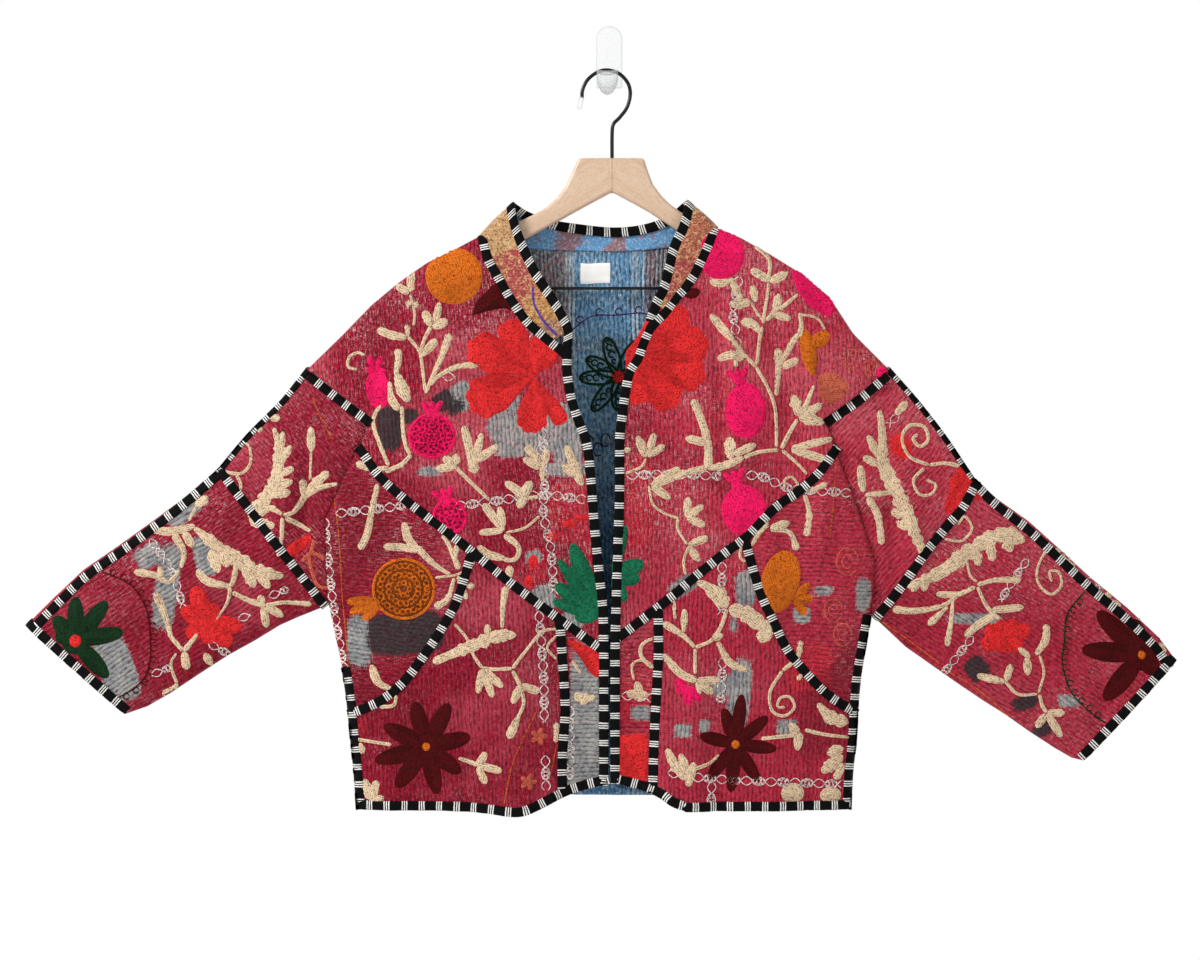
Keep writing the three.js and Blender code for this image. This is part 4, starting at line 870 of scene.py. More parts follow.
def thread_material():
    material, tree, shader = new_material("chain stitch", Roughness=0.72, Specular_IOR_Level=0.12)
    u, v, _ = split(map_place(tree, "thread"))
    place = position(tree)
    stray = times(minus(grains(place, 260.0), 0.5), 0.0030)
    row = sums("DIVIDE", plus(v, times(stray, 0.7)), CHAIN_ROW)
    link = plus(sums("DIVIDE", plus(u, stray), CHAIN_LINK), times(sums("FLOOR", row), 0.37))
    across, along = [minus(sums("FRACT", count), 0.5) for count in (row, link)]
    away = sums("SQRT", plus(sums("POWER", times(across, 2.0), 2.0), sums("POWER", times(along, 1.7), 2.0)))
    ring = rest_of(ramp(size_of(minus(away, 0.58)), 0.10, 0.42))
    full = plus(times(ring, 0.30), times(grains(place, 370.0, 1.5, Distortion=0.8), 0.90))
    shade = node(tree, "Attribute", {"attribute_name": "shade"}).outputs["Color"]
    tone = times(ramp(grains(place, 38.0), 0.35, 0.65), 0.3)
    body = blend(tone, shade, (0.72, 0.62, 0.60, 1), "MULTIPLY")
    # Painted light: the thread's colour is lightened into painted highlights and darkened into painted shade,
    # lit on the rings of the chain loops and shaded in the gaps between them, and also in a random mottle of
    # pale and dark flecks.
    painted_highlight_and_pale_fleck = blend(1.0, body, (1.42, 1.44, 1.44, 1), "MULTIPLY")
    deep = blend(1.0, body, (0.20, 0.12, 0.13, 1), "MULTIPLY")
    mixed = over(blend(ramp(full, 0.50, 0.66), body, painted_highlight_and_pale_fleck), rest_of(ramp(full, 0.36, 0.50)), 0.90, deep)
    feed(shader, Base_Color=mixed, Normal=bump(full, 1.0, 0.0016))
    return material


chain_stitch = thread_material()
CREAM = colour(208, 182, 150)
WHITE = colour(240, 226, 220)
ORANGE = colour(200, 100, 28)
HOT_PINK = colour(232, 26, 92)
RED = colour(214, 44, 46)
MAROON = colour(76, 0, 11)
GREEN = colour(26, 104, 72)
DARK_GREEN = colour(22, 50, 28)
RUST = colour(190, 92, 70)


def pairs(places):
    return list(zip(places[::2], places[1::2]))


def strand(work, line, first=4.0, last=4.0, shade=CREAM, height=1.15, step=1.7):
    """A row or a leaf of stitches on a line, as wide at its ends as first and last say, round-ended."""
    centre, run = soft_line(line, step)
    off = sideways(centre)
    total = run[-1]
    across = (-1, -0.7, 0, 0.7, 1) if max(first, last) > 2 else (-1, 0, 1)
    rise = (-0.25, height * 0.75, height, height * 0.75, -0.25) if len(across) == 5 else (-0.1, height, -0.1)
    rows, uvs = [], []
    for spot, aside, along in zip(centre, off, run):
        full = (first + (last - first) * along / total) / 2
        if min(first, last) > 5 and total < 48:
            full *= 0.74 + 0.40 * math.sin(math.pi * along / total)
        if full > 5.4:
            full *= 0.94 + 0.34 * abs(math.sin(along / 4.2))
        end = min(along, total - along)
        half = full * math.sqrt(max(1 - (1 - min(end / max(full, 0.4), 1)) ** 2, 0.02))
        half *= 1 + 0.24 * noise.noise((spot[0] / 3.4, spot[1] / 3.4, 2.0))
        rows.append(laid_on(work, [spot + aside * (share * half) for share in across], rise))
        uvs.append([(along * MM, share * half * MM) for share in across])
    add_grid(work, rows, uvs, shade)


def fill(work, outline, shade, height=1.1):
    """A shape filled with rows of stitches that follow its outline inwards."""
    outline = np.array(outline, float)
    outline, _ = soft_line(np.vstack([outline, outline[:1]]), 2.4)
    middle = outline[:-1].mean(0)
    size = np.hypot(*(outline - middle).T).mean()
    turns = max(int(size / 1.9), 3)
    run = run_of(outline)
    rows, uvs = [], []
    for ring in range(turns + 1):
        share = 1 - ring / turns * 0.97
        lift = -0.25 if ring == 0 else height * (0.8 if ring == 1 else 1.0)
        places = middle + (outline - middle) * share
        rows.append(laid_on(work, places, [lift] * len(places)))
        uvs.append([(distance * MM * max(share, 0.25), (1 - share) * size * MM) for distance in run])
    add_grid(work, rows, uvs, shade)


PETAL = np.array([(0, 0.22), (0.14, 0.60), (0.32, 0.92), (0.52, 1.0), (0.74, 0.88), (0.89, 0.64),
                  (0.97, 0.36)])


def petal_outline(base, tip, width):
    """A blunt petal or leaf on the line from its foot to its tip."""
    base, tip = np.array(base, float), np.array(tip, float)
    axis = tip - base
    side = np.array([-axis[1], axis[0]]) / np.hypot(*axis) * width / 2
    left = [base + axis * part + side * half for part, half in PETAL]
    right = [base + axis * part - side * half for part, half in PETAL]
    return left + [tip] + right[::-1]


def fan_outline(base, tip, width, scallops=3):
    """A petal that widens from its foot to a scalloped end."""
    base, tip = np.array(base, float), np.array(tip, float)
    axis = tip - base
    reach = np.hypot(*axis)
    axis /= reach
    side = np.array([-axis[1], axis[0]])
    heart = base + axis * (reach - width / 2)
    sides = [(0.02, 0.10), (0.30, 0.34), (0.58, 0.72), (0.80, 0.95)]
    left, right = [[base + axis * (reach - width / 2) * a + side * hand * width / 2 * b for a, b in sides]
                   for hand in (1, -1)]
    crown = []
    for angle in np.linspace(84, -84, 6 * scallops + 1):
        wave = 0.95 + 0.13 * abs(math.sin(math.radians((angle + 84) * 180 * scallops / 168))) ** 0.7
        lean = math.radians(angle)
        crown.append(heart + width / 2 * wave * (axis * math.cos(lean) + side * math.sin(lean)))
    return left + crown + right[::-1]


def round_outline(middle, half, tall, turn=0.0, count=18):
    angles = np.linspace(0, 2 * math.pi, count, endpoint=False)
    ring = np.stack([half * np.cos(angles), tall * np.sin(angles)], -1)
    cos, sin = math.cos(math.radians(turn)), math.sin(math.radians(turn))
    return np.array(middle) + ring @ np.array([[cos, sin], [-sin, cos]])


def flower(work, middle, tips, width, shade, heart=None, heart_size=6.0):
    for number, tip in enumerate(tips):
        fill(work, petal_outline(middle, tip, width), shade, height=0.8 + 0.12 * (number % 2))
    if heart:
        fill(work, round_outline(middle, width * 0.8, width * 0.8), shade, height=0.95)
        fill(work, round_outline(middle, heart_size, heart_size * 1.1), heart, height=1.7)


def lace(work, middle, half, tall, shade, turn=0.0):
    """An open round: a fill of the thread's colour darkened to painted shade, under a ring and circles of
    small loops.
    """
    # Painted shade: the fill is the thread's colour at three tenths, so that the gaps between the loops look
    # shaded.
    dark = tuple(0.30 * part for part in shade[:3]) + (1.0,)
    fill(work, round_outline(middle, half * 0.96, tall * 0.96, turn), dark, height=0.4)
    for share, loop in ((0.95, 0), (0.74, 2.9), (0.47, 2.8), (0.20, 2.4)):
        ring = round_outline(middle, half * share, tall * share, turn, count=24)
        if not loop:
            strand(work, np.vstack([ring, ring[:1]]), 3.4, 3.4, shade, height=1.2)
            continue
        round_it, run = soft_line(np.vstack([ring, ring[:1]]), 1.0)
        for at in np.arange(0, run[-1] - 3.0, 2 * loop + 0.3):
            spot = round_it[int(np.argmin(abs(run - at)))]
            circle = round_outline(spot, loop, loop, at * 20, count=8)
            strand(work, np.vstack([circle, circle[:1]]), 2.1, 2.1, shade, height=1.15, step=2.0)


def pomegranate(work, middle, half, tall, crown, shade, dense=False):
    if dense:
        fill(work, round_outline(middle, half, tall), shade, height=1.0)
    else:
        lace(work, middle, half, tall, shade)
    toward = np.array(crown, float) - np.array(middle, float)
    reach = np.hypot(*toward)
    toward /= reach
    aside = np.array([-toward[1], toward[0]])
    root = np.array(middle) + toward * (reach - 15)
    for lean in (-0.75, 0.0, 0.75):
        tip = root + (toward * 17 + aside * lean * 15)
        fill(work, petal_outline(root, tip, 7.5), shade, height=0.9)
    fill(work, round_outline(root, 7, 6), shade, height=1.0)


def lattice(work, line, half=4.6):
    """Two threads that cross in long loops, with two more plaited through every second loop."""
    wave = 13.0
    centre, run = soft_line(line, 1.1)
    off = sideways(centre)
    for sign in (1, -1):
        swing = sign * half * np.sin(np.pi * run / wave)
        strand(work, (centre + off * swing[:, None])[::2], 1.1, 1.1, WHITE, height=0.8, step=2.0)
    for start in np.arange(wave, run[-1] - wave * 0.6, 2 * wave):
        here = (run >= start - 1) & (run <= start + wave + 1)
        for sign in (1, -1):
            swing = sign * half * 0.8 * np.sin(3 * np.pi * (run[here] - start) / wave)
            strand(work, centre[here] + off[here] * swing[:, None], 1.1, 1.1, WHITE, height=0.9, step=1.4)


def curly(work, line, shade, loop=3.2, every=12.0):
    """A stem of thread with a small loop at its side every few millimetres."""
    strand(work, line, 1.7, 1.7, shade, height=0.8)
    centre, run = soft_line(line, 1.0)
    off = sideways(centre)
    for at in np.arange(every, run[-1], every):
        index = int(np.argmin(abs(run - at)))
        middle = centre[index] + off[index] * loop
        strand(work, round_outline(middle, loop, loop, count=9), 1.5, 1.5, shade, height=0.8)


# Embroidery of the front. Each leaf or stem is its two end widths, then x, z of the places it runs through.
FRONT_LEAVES = [
    (4, 4, -196, -363, -200, -332, -203, -319, -215, -304), (10, 8, -248, -296, -233, -302, -216, -305),
    (7, 4, -216, -291, -215, -304), (4, 5, -202, -322, -197, -306, -190, -293),
    (9, 9, -198, -276, -190, -293), (6, 9, -181, -267, -186, -289), (9, 10, -172, -287, -189, -294),
    (11, 6, -184, -307, -193, -317, -200, -325), (9, 4, -170, -301, -180, -328, -196, -365),
    (8, 4, -138, -334, -161, -336, -180, -345, -191, -356), (2, 2, -137, -334, -108, -335),
    (3, 3, -209, -293, -208, -278, -213, -258), (9, 9, -212, -232, -213, -256),
    (9, 7, -228, -248, -214, -258), (8, 8, -218, -268, -211, -269), (6, 6, -204, -267, -210, -273),
    (10, 12, -227, -343, -221, -359, -214, -374), (7, 10, -234, -352, -234, -367, -224, -383),
    (5, 5, -221, -378, -220, -402, -217, -420, -212, -430), (9, 5, -227, -317, -225, -326, -228, -346),
    (5, 5, -243, -375, -252, -394, -245, -418, -235, -442), (5, 6, -211, -430, -222, -441, -239, -448),
    (9, 5, -270, -439, -252, -445, -235, -444), (4, 5, -128, -478, -148, -459, -165, -442),
    (9, 9, -163, -429, -164, -442), (9, 8, -177, -432, -164, -443), (9, 8, -185, -445, -164, -443),
    (9, 11, -155, -399, -150, -420, -143, -450), (7, 9, -136, -407, -143, -437),
    (8, 9, -118, -420, -142, -437), (5, 10, -71, -459, -73, -442, -89, -420), (8, 10, -92, -434, -73, -444),
    (9, 8, -66, -424, -71, -444), (9, 10, -46, -420, -36, -446, -29, -463), (8, 9, -51, -441, -34, -453),
    (9, 9, -111, -459, -95, -470), (9, 8, -84, -458, -92, -473), (9, 11, -108, -461, -92, -474, -97, -487),
    (9, 8, -83, -458, -91, -475), (4, 3, -75, -475, -91, -476), (10, 8, -134, -482, -123, -497, -112, -511),
    (8, 6, -139, -513, -113, -511), (8, 8, -117, -485, -113, -507),
    (3, 3, -110, -513, -90, -508, -74, -495), (8, 5, -112, -515, -97, -528, -100, -541, -113, -542),
    (9, 7, -140, -527, -129, -536, -110, -541), (10, 7, -105, -548, -109, -567),
    (9, 4, -110, -570, -113, -590, -114, -615), (9, 9, -219, -502, -214, -520, -204, -531),
    (9, 8, -241, -528, -219, -529, -204, -533), (9, 4, -206, -528, -186, -547, -169, -558),
    (6, 9, -247, -461, -253, -488, -258, -514, -266, -531), (3, 3, -186, -561, -160, -557, -143, -544),
    (4, 7, -178, -515, -170, -528, -160, -552), (7, 5, -162, -526, -165, -545),
    (9, 4, -186, -593, -172, -583, -165, -561), (7, 6, -152, -584, -161, -559),
    (8, 6, -143, -570, -152, -570), (9, 13, -188, -651, -155, -637, -126, -625),
    (13, 9, -129, -626, -113, -622, -99, -622), (8, 6, -130, -610, -129, -625),
    (3, 4, -165, -610, -152, -625, -144, -644, -135, -657), (4, 4, -136, -657, -121, -658, -103, -657),
    (8, 9, -140, -684, -135, -658), (8, 9, -124, -688, -134, -659), (8, 8, -113, -677, -133, -659),
    (4, 3, -103, -657, -90, -640, -72, -619, -56, -615), (4, 5, -103, -659, -94, -676),
    (9, 9, -103, -694, -94, -675), (9, 8, -74, -682, -94, -675), (4, 4, -94, -677, -91, -694, -98, -711),
    (6, 11, -96, -707, -107, -731), (4, 4, -270, -734, -232, -739),
    (10, 6, -254, -654, -247, -672, -231, -681), (4, 4, -245, -699, -230, -697, -227, -686),
    (4, 6, -161, -753, -140, -760), (9, 8, -131, -746, -140, -762), (8, 8, -114, -766, -139, -760),
    (8, 8, -131, -780, -140, -762), (9, 11, -261, -776, -256, -798), (9, 9, -248, -777, -253, -798),
    (9, 8, -240, -795, -256, -801), (9, 9, -270, -738, -262, -749), (3, 3, -56, -648, -66, -635, -56, -622),
    (7, 5, -56, -715, -57, -736), (4, 4, 178, -422, 178, -398, 176, -378, 169, -359, 156, -336),
    (4, 7, 157, -337, 143, -323, 131, -308), (9, 8, 108, -280, 121, -296, 132, -309),
    (9, 10, 115, -328, 130, -324, 143, -328), (5, 5, 135, -337, 134, -328),
    (4, 4, 157, -334, 160, -308, 163, -293), (11, 8, 140, -288, 153, -291, 161, -300),
    (4, 3, 164, -290, 166, -276, 169, -258, 170, -245), (10, 8, 151, -232, 163, -239, 170, -245),
    (9, 9, 191, -235, 180, -241, 171, -245), (5, 4, 170, -244, 171, -221, 156, -207),
    (3, 3, 164, -287, 156, -276, 151, -266), (10, 10, 129, -270, 151, -267), (9, 7, 153, -249, 156, -267),
    (8, 8, 141, -265, 133, -249, 130, -241), (9, 8, 107, -245, 119, -247, 131, -244),
    (5, 8, 167, -287, 175, -279, 180, -269), (9, 9, 181, -258, 178, -276), (8, 9, 194, -285, 176, -280),
    (3, 6, 202, -258, 182, -275), (5, 8, 178, -367, 180, -346, 181, -332), (9, 10, 180, -316, 182, -337),
    (9, 8, 202, -328, 184, -337), (6, 7, 185, -330, 195, -311, 204, -299),
    (8, 4, 204, -304, 205, -289, 203, -278), (3, 3, 204, -280, 222, -284, 231, -297),
    (5, 5, 183, -424, 192, -407, 201, -392), (10, 10, 196, -366, 203, -389), (9, 11, 229, -396, 202, -389),
    (3, 8, 218, -356, 206, -387), (9, 9, 227, -376, 206, -389), (4, 5, 180, -425, 160, -427, 143, -433),
    (8, 8, 143, -433, 121, -442, 104, -444), (8, 7, 104, -444, 77, -451, 49, -463),
    (8, 8, 238, -413, 217, -418, 194, -424), (10, 7, 232, -436, 213, -430, 194, -425),
    (4, 3, 184, -425, 200, -439, 211, -451), (8, 10, 89, -371, 99, -396, 105, -420, 105, -444),
    (8, 9, 81, -412, 105, -418), (11, 10, 128, -411, 129, -435), (8, 8, 156, -419, 132, -430),
    (9, 9, 30, -410, 39, -433), (8, 8, 48, -407, 41, -431), (8, 7, 59, -420, 41, -432),
    (3, 3, 39, -434, 34, -443, 17, -450), (6, 6, 15, -425, 23, -425), (8, 9, 75, -444, 60, -453, 45, -463),
    (9, 8, 45, -463, 65, -477), (3, 3, 42, -463, 46, -482, 58, -492, 74, -498), (9, 6, 84, -475, 82, -497),
    (9, 7, 100, -484, 82, -497), (9, 7, 102, -506, 82, -496), (3, 3, 73, -498, 73, -510, 83, -526),
    (9, 7, 105, -518, 84, -526), (8, 8, 96, -544, 84, -527), (3, 3, 84, -528, 79, -544, 81, -558),
    (9, 13, 93, -565, 106, -572, 125, -593), (11, 11, 114, -570, 125, -593),
    (14, 15, 127, -593, 148, -601, 166, -616), (12, 10, 156, -622, 173, -624), (9, 8, 165, -606, 173, -622),
    (5, 4, 125, -594, 119, -612, 109, -627, 91, -635), (4, 9, 91, -635, 78, -622, 57, -609),
    (8, 6, 80, -594, 79, -619), (3, 3, 68, -590, 70, -605), (4, 4, 91, -636, 91, -663),
    (9, 8, 109, -625, 121, -622), (7, 8, 115, -629, 128, -651, 147, -660),
    (8, 9, 57, -642, 75, -662, 93, -670), (9, 8, 118, -670, 92, -670), (9, 8, 110, -684, 92, -670),
    (7, 5, 96, -684, 93, -671), (7, 4, 204, -628, 200, -646, 184, -660),
    (4, 3, 184, -660, 171, -682, 173, -702, 186, -708, 197, -699, 192, -688, 182, -689, 179, -698, 187, -699),
    (4, 5, 161, -732, 182, -730, 201, -728), (9, 9, 191, -716, 202, -728),
    (5, 3, 208, -723, 228, -728, 257, -732), (10, 8, 202, -725, 200, -745),
    (9, 13, 222, -695, 236, -710, 255, -716), (10, 10, 250, -743, 232, -749),
    (11, 10, 249, -751, 226, -769), (9, 9, 250, -759, 241, -777),
    (3, 6, 47, -625, 35, -632, 34, -645, 47, -657), (3, 3, 26, -670, 24, -655, 31, -649, 43, -651),
    (10, 8, 18, -684, 42, -686), (9, 9, 29, -671, 34, -692), (9, 10, 61, -742, 69, -759, 82, -775),
    (9, 9, 75, -747, 83, -769), (9, 8, 90, -756, 83, -782), (5, 3, 88, -764, 106, -758, 117, -749),
    (4, 9, 151, -527, 161, -510, 169, -502), (9, 9, 192, -502, 171, -509),
    (4, 8, 171, -510, 192, -513, 200, -532), (5, 8, 208, -472, 213, -492, 210, -517),
    (4, 8, 213, -469, 232, -461), (3, 3, 187, -466, 187, -457, 195, -454, 202, -463),
    (3, 3, 145, -544, 139, -539, 140, -526), (5, 6, 205, -664, 200, -670), (3, 3, 69, -585, 70, -596),
    (9, 9, -38, -689, -27, -686), (9, 9, -30, -696, -22, -684), (8, 8, -16, -692, -22, -686),
    (4, 3, -40, -649, -30, -663)]
front = new_work(front_layer, -1)
for first, last, *places in FRONT_LEAVES:
    strand(front, pairs(places), first, last)
strand(front, [(-261, -324), (-269, -321), (-278, -326), (-279, -336), (-269, -339)], 3.4, 3.4)
fill(front, round_outline((-166, -239), 31, 31), ORANGE)
fill(front, [(-147, -282), (-143, -268), (-131, -255), (-119, -246), (-108, -258), (-97, -276), (-113, -274),
     (-129, -277)], MAROON)
for tip, width, scallops in (((-149, -311), 41, 3), ((-110, -287), 31, 2), ((-66, -304), 37, 3),
                             ((-150, -376), 45, 4), ((-83, -407), 33, 4), ((-49, -398), 19, 2)):
    fill(front, fan_outline((-80, -347), tip, width, scallops), RED)
pomegranate(front, (-189, -410), 25, 24, (-189, -374), HOT_PINK)
fill(front, round_outline((-247, -360), 13, 22, 8), HOT_PINK)
for tip in ((-258, -324), (-244, -324), (-260, -337), (-239, -339)):
    fill(front, petal_outline((-249, -343), tip, 8), HOT_PINK)
pomegranate(front, (-170, -496), 18, 19, (-178, -467), HOT_PINK)
lace(front, (-219, -573), 34, 33, ORANGE)
for tip in ((-281, -587), (-278, -599), (-263, -607)):
    fill(front, petal_outline((-244, -586), tip, 12), ORANGE)
flower(front, (-195, -741), [(-208, -692), (-170, -694), (-147, -730), (-158, -769), (-183, -792),
       (-227, -785), (-251, -757), (-241, -718)], 19, MAROON, ORANGE, 5.5)
for tip, width in (((-40, -524), 21), ((-55, -541), 14), ((-59, -567), 18), ((-61, -586), 15),
                   ((-38, -601), 19)):
    fill(front, petal_outline((-11, -601), tip, width), GREEN)
for tip, width in (((37, -544), 19), ((33, -563), 18), ((17, -587), 14), ((18, -504), 11)):
    fill(front, petal_outline((4, -559), tip, width), GREEN)
for place, half, tall in (((-43, -504), 8, 5), ((-29, -497), 10, 4), ((-62, -517), 7, 6),
                          ((-81, -544), 6, 9), ((-86, -565), 5, 8)):
    fill(front, round_outline(place, half, tall, count=11), RED, height=0.5)
fill(front, [(-46, -627), (-33, -629), (-20, -635), (-8, -640), (-9, -666), (-20, -663), (-30, -648)], RED)
fill(front, round_outline((119, -215), 26, 28), HOT_PINK)
fill(front, petal_outline((197, -232), (240, -280), 27), HOT_PINK)
for tip, width, scallops in (((82, -276), 40, 3), ((105, -311), 40, 3), ((101, -349), 38, 3),
                             ((71, -378), 38, 3), ((34, -376), 26, 2)):
    fill(front, fan_outline((18, -322), tip, width, scallops), RED)
fill(front, petal_outline((80, -261), (97, -255), 12), MAROON)
pomegranate(front, (145, -383), 22, 30, (136, -339), HOT_PINK, dense=True)
pomegranate(front, (143, -489), 24, 27, (132, -448), HOT_PINK, dense=True)
fill(front, petal_outline((217, -346), (208, -295), 17), ORANGE)
fill(front, petal_outline((213, -317), (235, -299), 17), ORANGE)
fill(front, [(222, -346), (235, -341), (252, -350), (256, -361), (243, -374), (226, -372)], RUST, height=0.6)
for place, half in (((259, -328), 9), ((280, -337), 8), ((239, -596), 10), ((254, -544), 12),
                    ((249, -622), 10)):
    strand(front, round_outline(place, half, half * 1.2, count=10), 1.6, 1.6, RUST, height=0.5)
    strand(front, round_outline(place, half * 0.5, half * 0.6, count=8), 1.6, 1.6, RUST, height=0.5)
fill(front, round_outline((182, -565), 21, 34, -14), ORANGE)
for tip in ((214, -567), (218, -583), (210, -601)):
    fill(front, petal_outline((197, -584), tip, 11), ORANGE)
flower(front, (134, -738), [(141, -684), (169, -708), (179, -743), (159, -778), (129, -790),
       (105, -775), (95, -728), (121, -699)], 15, MAROON, ORANGE, 5.5)
for tip in ((69, -670), (71, -682), (84, -697), (97, -692)):
    fill(front, petal_outline((82, -676), tip, 11), HOT_PINK)
fill(front, [(8, -729), (26, -727), (40, -729), (41, -754), (38, -778), (22, -775), (7, -771), (8, -751)],
     RED)
for place, half, tall in (((195, -790), 13, 11), ((236, -793), 12, 9)):
    fill(front, round_outline(place, half, tall), CREAM)
fill(front, [(283, -346), (292, -334), (307, -352), (296, -354)], HOT_PINK)
for place in ((-75, -729), (-86, -777)):
    for angle in range(0, 360, 72):
        tip = (place[0] + 10 * math.cos(math.radians(angle)), place[1] + 10 * math.sin(math.radians(angle)))
        fill(front, petal_outline(place, tip, 6), RUST, height=0.6)
for line in ([(-74, -419), (-69, -456), (-70, -492), (-62, -533), (-59, -580)],
             [(-75, -596), (-70, -663), (-69, -715)], [(-68, -749), (-67, -788)],
             [(-292, -493), (-258, -489), (-217, -484)],
             [(-165, -485), (-118, -479), (-72, -473), (-25, -478)],
             [(-304, -497), (-299, -554), (-292, -611), (-278, -689)],
             [(18, -452), (70, -451), (119, -453)],
             [(145, -452), (161, -453), (184, -463), (202, -467), (257, -471)], [(120, -544), (119, -601)],
             [(121, -645), (118, -694)], [(109, -777), (108, -803)],
             [(62, -767), (114, -775), (176, -778), (250, -782)], [(139, -239), (132, -276), (135, -302)],
             [(134, -304), (139, -322)], [(-81, -300), (-80, -328)], [(-178, -346), (-163, -348)],
             [(-72, -400), (-70, -426)], [(-42, -697), (-42, -777)], [(13, -686), (47, -689)],
             [(-73, -363), (-67, -383)]):
    lattice(front, line)
for line in ([(-295, -466), (-288, -523), (-284, -596), (-275, -702)],
             [(-77, -702), (-92, -733), (-103, -759), (-112, -801)],
             [(242, -435), (239, -479), (235, -518)], [(-56, -738), (-64, -777)]):
    strand(front, line, 1.1, 1.1, ORANGE, height=0.5)
front_stitches = finish_work(front, "front_embroidery", chain_stitch, "embroidery_thread")

# A stray line of violet thread on the collar
on_collar = BVHTree.FromPolygons([vertex.co.copy() for vertex in collar.data.vertices],
                                 [list(face.vertices) for face in collar.data.polygons])
collar_work = new_work(on_collar, -1)
strand(collar_work, [(-82, -251), (-80, -270), (-69, -289), (-56, -303)], 2.2, 3.0,
       colour(88, 66, 150), height=0.9)
collar_stitches = finish_work(collar_work, "collar_embroidery", chain_stitch, "embroidery_thread")

# Embroidery of the sleeves' fronts
RIGHT_SLEEVE_LEAVES = [
    (6, 14, -359, -401, -353, -422, -354, -448), (14, 14, -353, -441, -357, -462, -368, -476),
    (14, 10, -364, -471, -375, -485, -386, -497), (7, 8, -349, -405, -352, -429),
    (8, 8, -340, -420, -353, -439), (8, 8, -337, -444, -354, -452), (8, 9, -338, -458, -357, -464),
    (9, 10, -340, -470, -362, -473), (12, 9, -385, -497, -371, -504, -357, -506),
    (10, 4, -375, -494, -362, -487, -349, -494), (4, 8, -348, -495, -336, -490, -325, -473),
    (9, 10, -326, -476, -316, -463, -300, -448), (8, 8, -328, -456, -326, -475),
    (8, 4, -323, -472, -309, -465, -290, -461), (3, 3, -320, -457, -319, -427),
    (9, 8, -319, -427, -319, -400), (5, 4, -349, -497, -350, -520, -354, -539),
    (7, 4, -346, -497, -333, -504, -319, -512),
    (4, 3, -413, -448, -394, -450, -384, -439, -385, -422, -393, -415),
    (4, 3, -399, -451, -394, -463, -397, -475), (8, 8, -364, -390, -352, -391),
    (7, 7, -381, -400, -371, -404), (6, 6, -405, -427, -401, -432),
    (10, 8, -490, -510, -469, -512, -443, -506), (9, 9, -445, -529, -455, -512),
    (9, 5, -466, -515, -455, -534, -458, -551), (4, 9, -459, -553, -471, -566, -485, -559, -508, -555),
    (6, 7, -481, -549, -479, -562), (7, 13, -444, -508, -429, -520, -413, -534),
    (13, 13, -418, -529, -397, -542, -378, -552), (13, 8, -381, -551, -364, -557, -348, -560),
    (10, 11, -417, -556, -426, -531), (9, 10, -407, -550, -415, -534), (10, 11, -379, -572, -390, -549),
    (9, 10, -363, -573, -376, -555), (9, 7, -441, -553, -429, -565, -405, -571),
    (7, 5, -398, -544, -401, -562, -405, -571), (5, 2, -405, -571, -408, -587, -420, -606),
    (5, 8, -403, -577, -385, -586, -368, -591), (9, 8, -367, -615, -370, -592),
    (9, 8, -349, -603, -367, -592), (8, 7, -374, -580, -370, -591),
    (4, 6, -368, -591, -346, -588, -319, -590), (9, 6, -485, -577, -476, -600, -469, -626),
    (6, 5, -470, -624, -456, -640), (4, 8, -440, -621, -455, -640), (10, 8, -452, -660, -455, -640),
    (3, 4, -463, -642, -469, -654, -463, -675), (5, 9, -462, -675, -469, -682, -479, -687),
    (7, 8, -433, -642, -426, -655), (9, 9, -443, -485, -429, -475), (4, 3, -442, -486, -450, -501)]
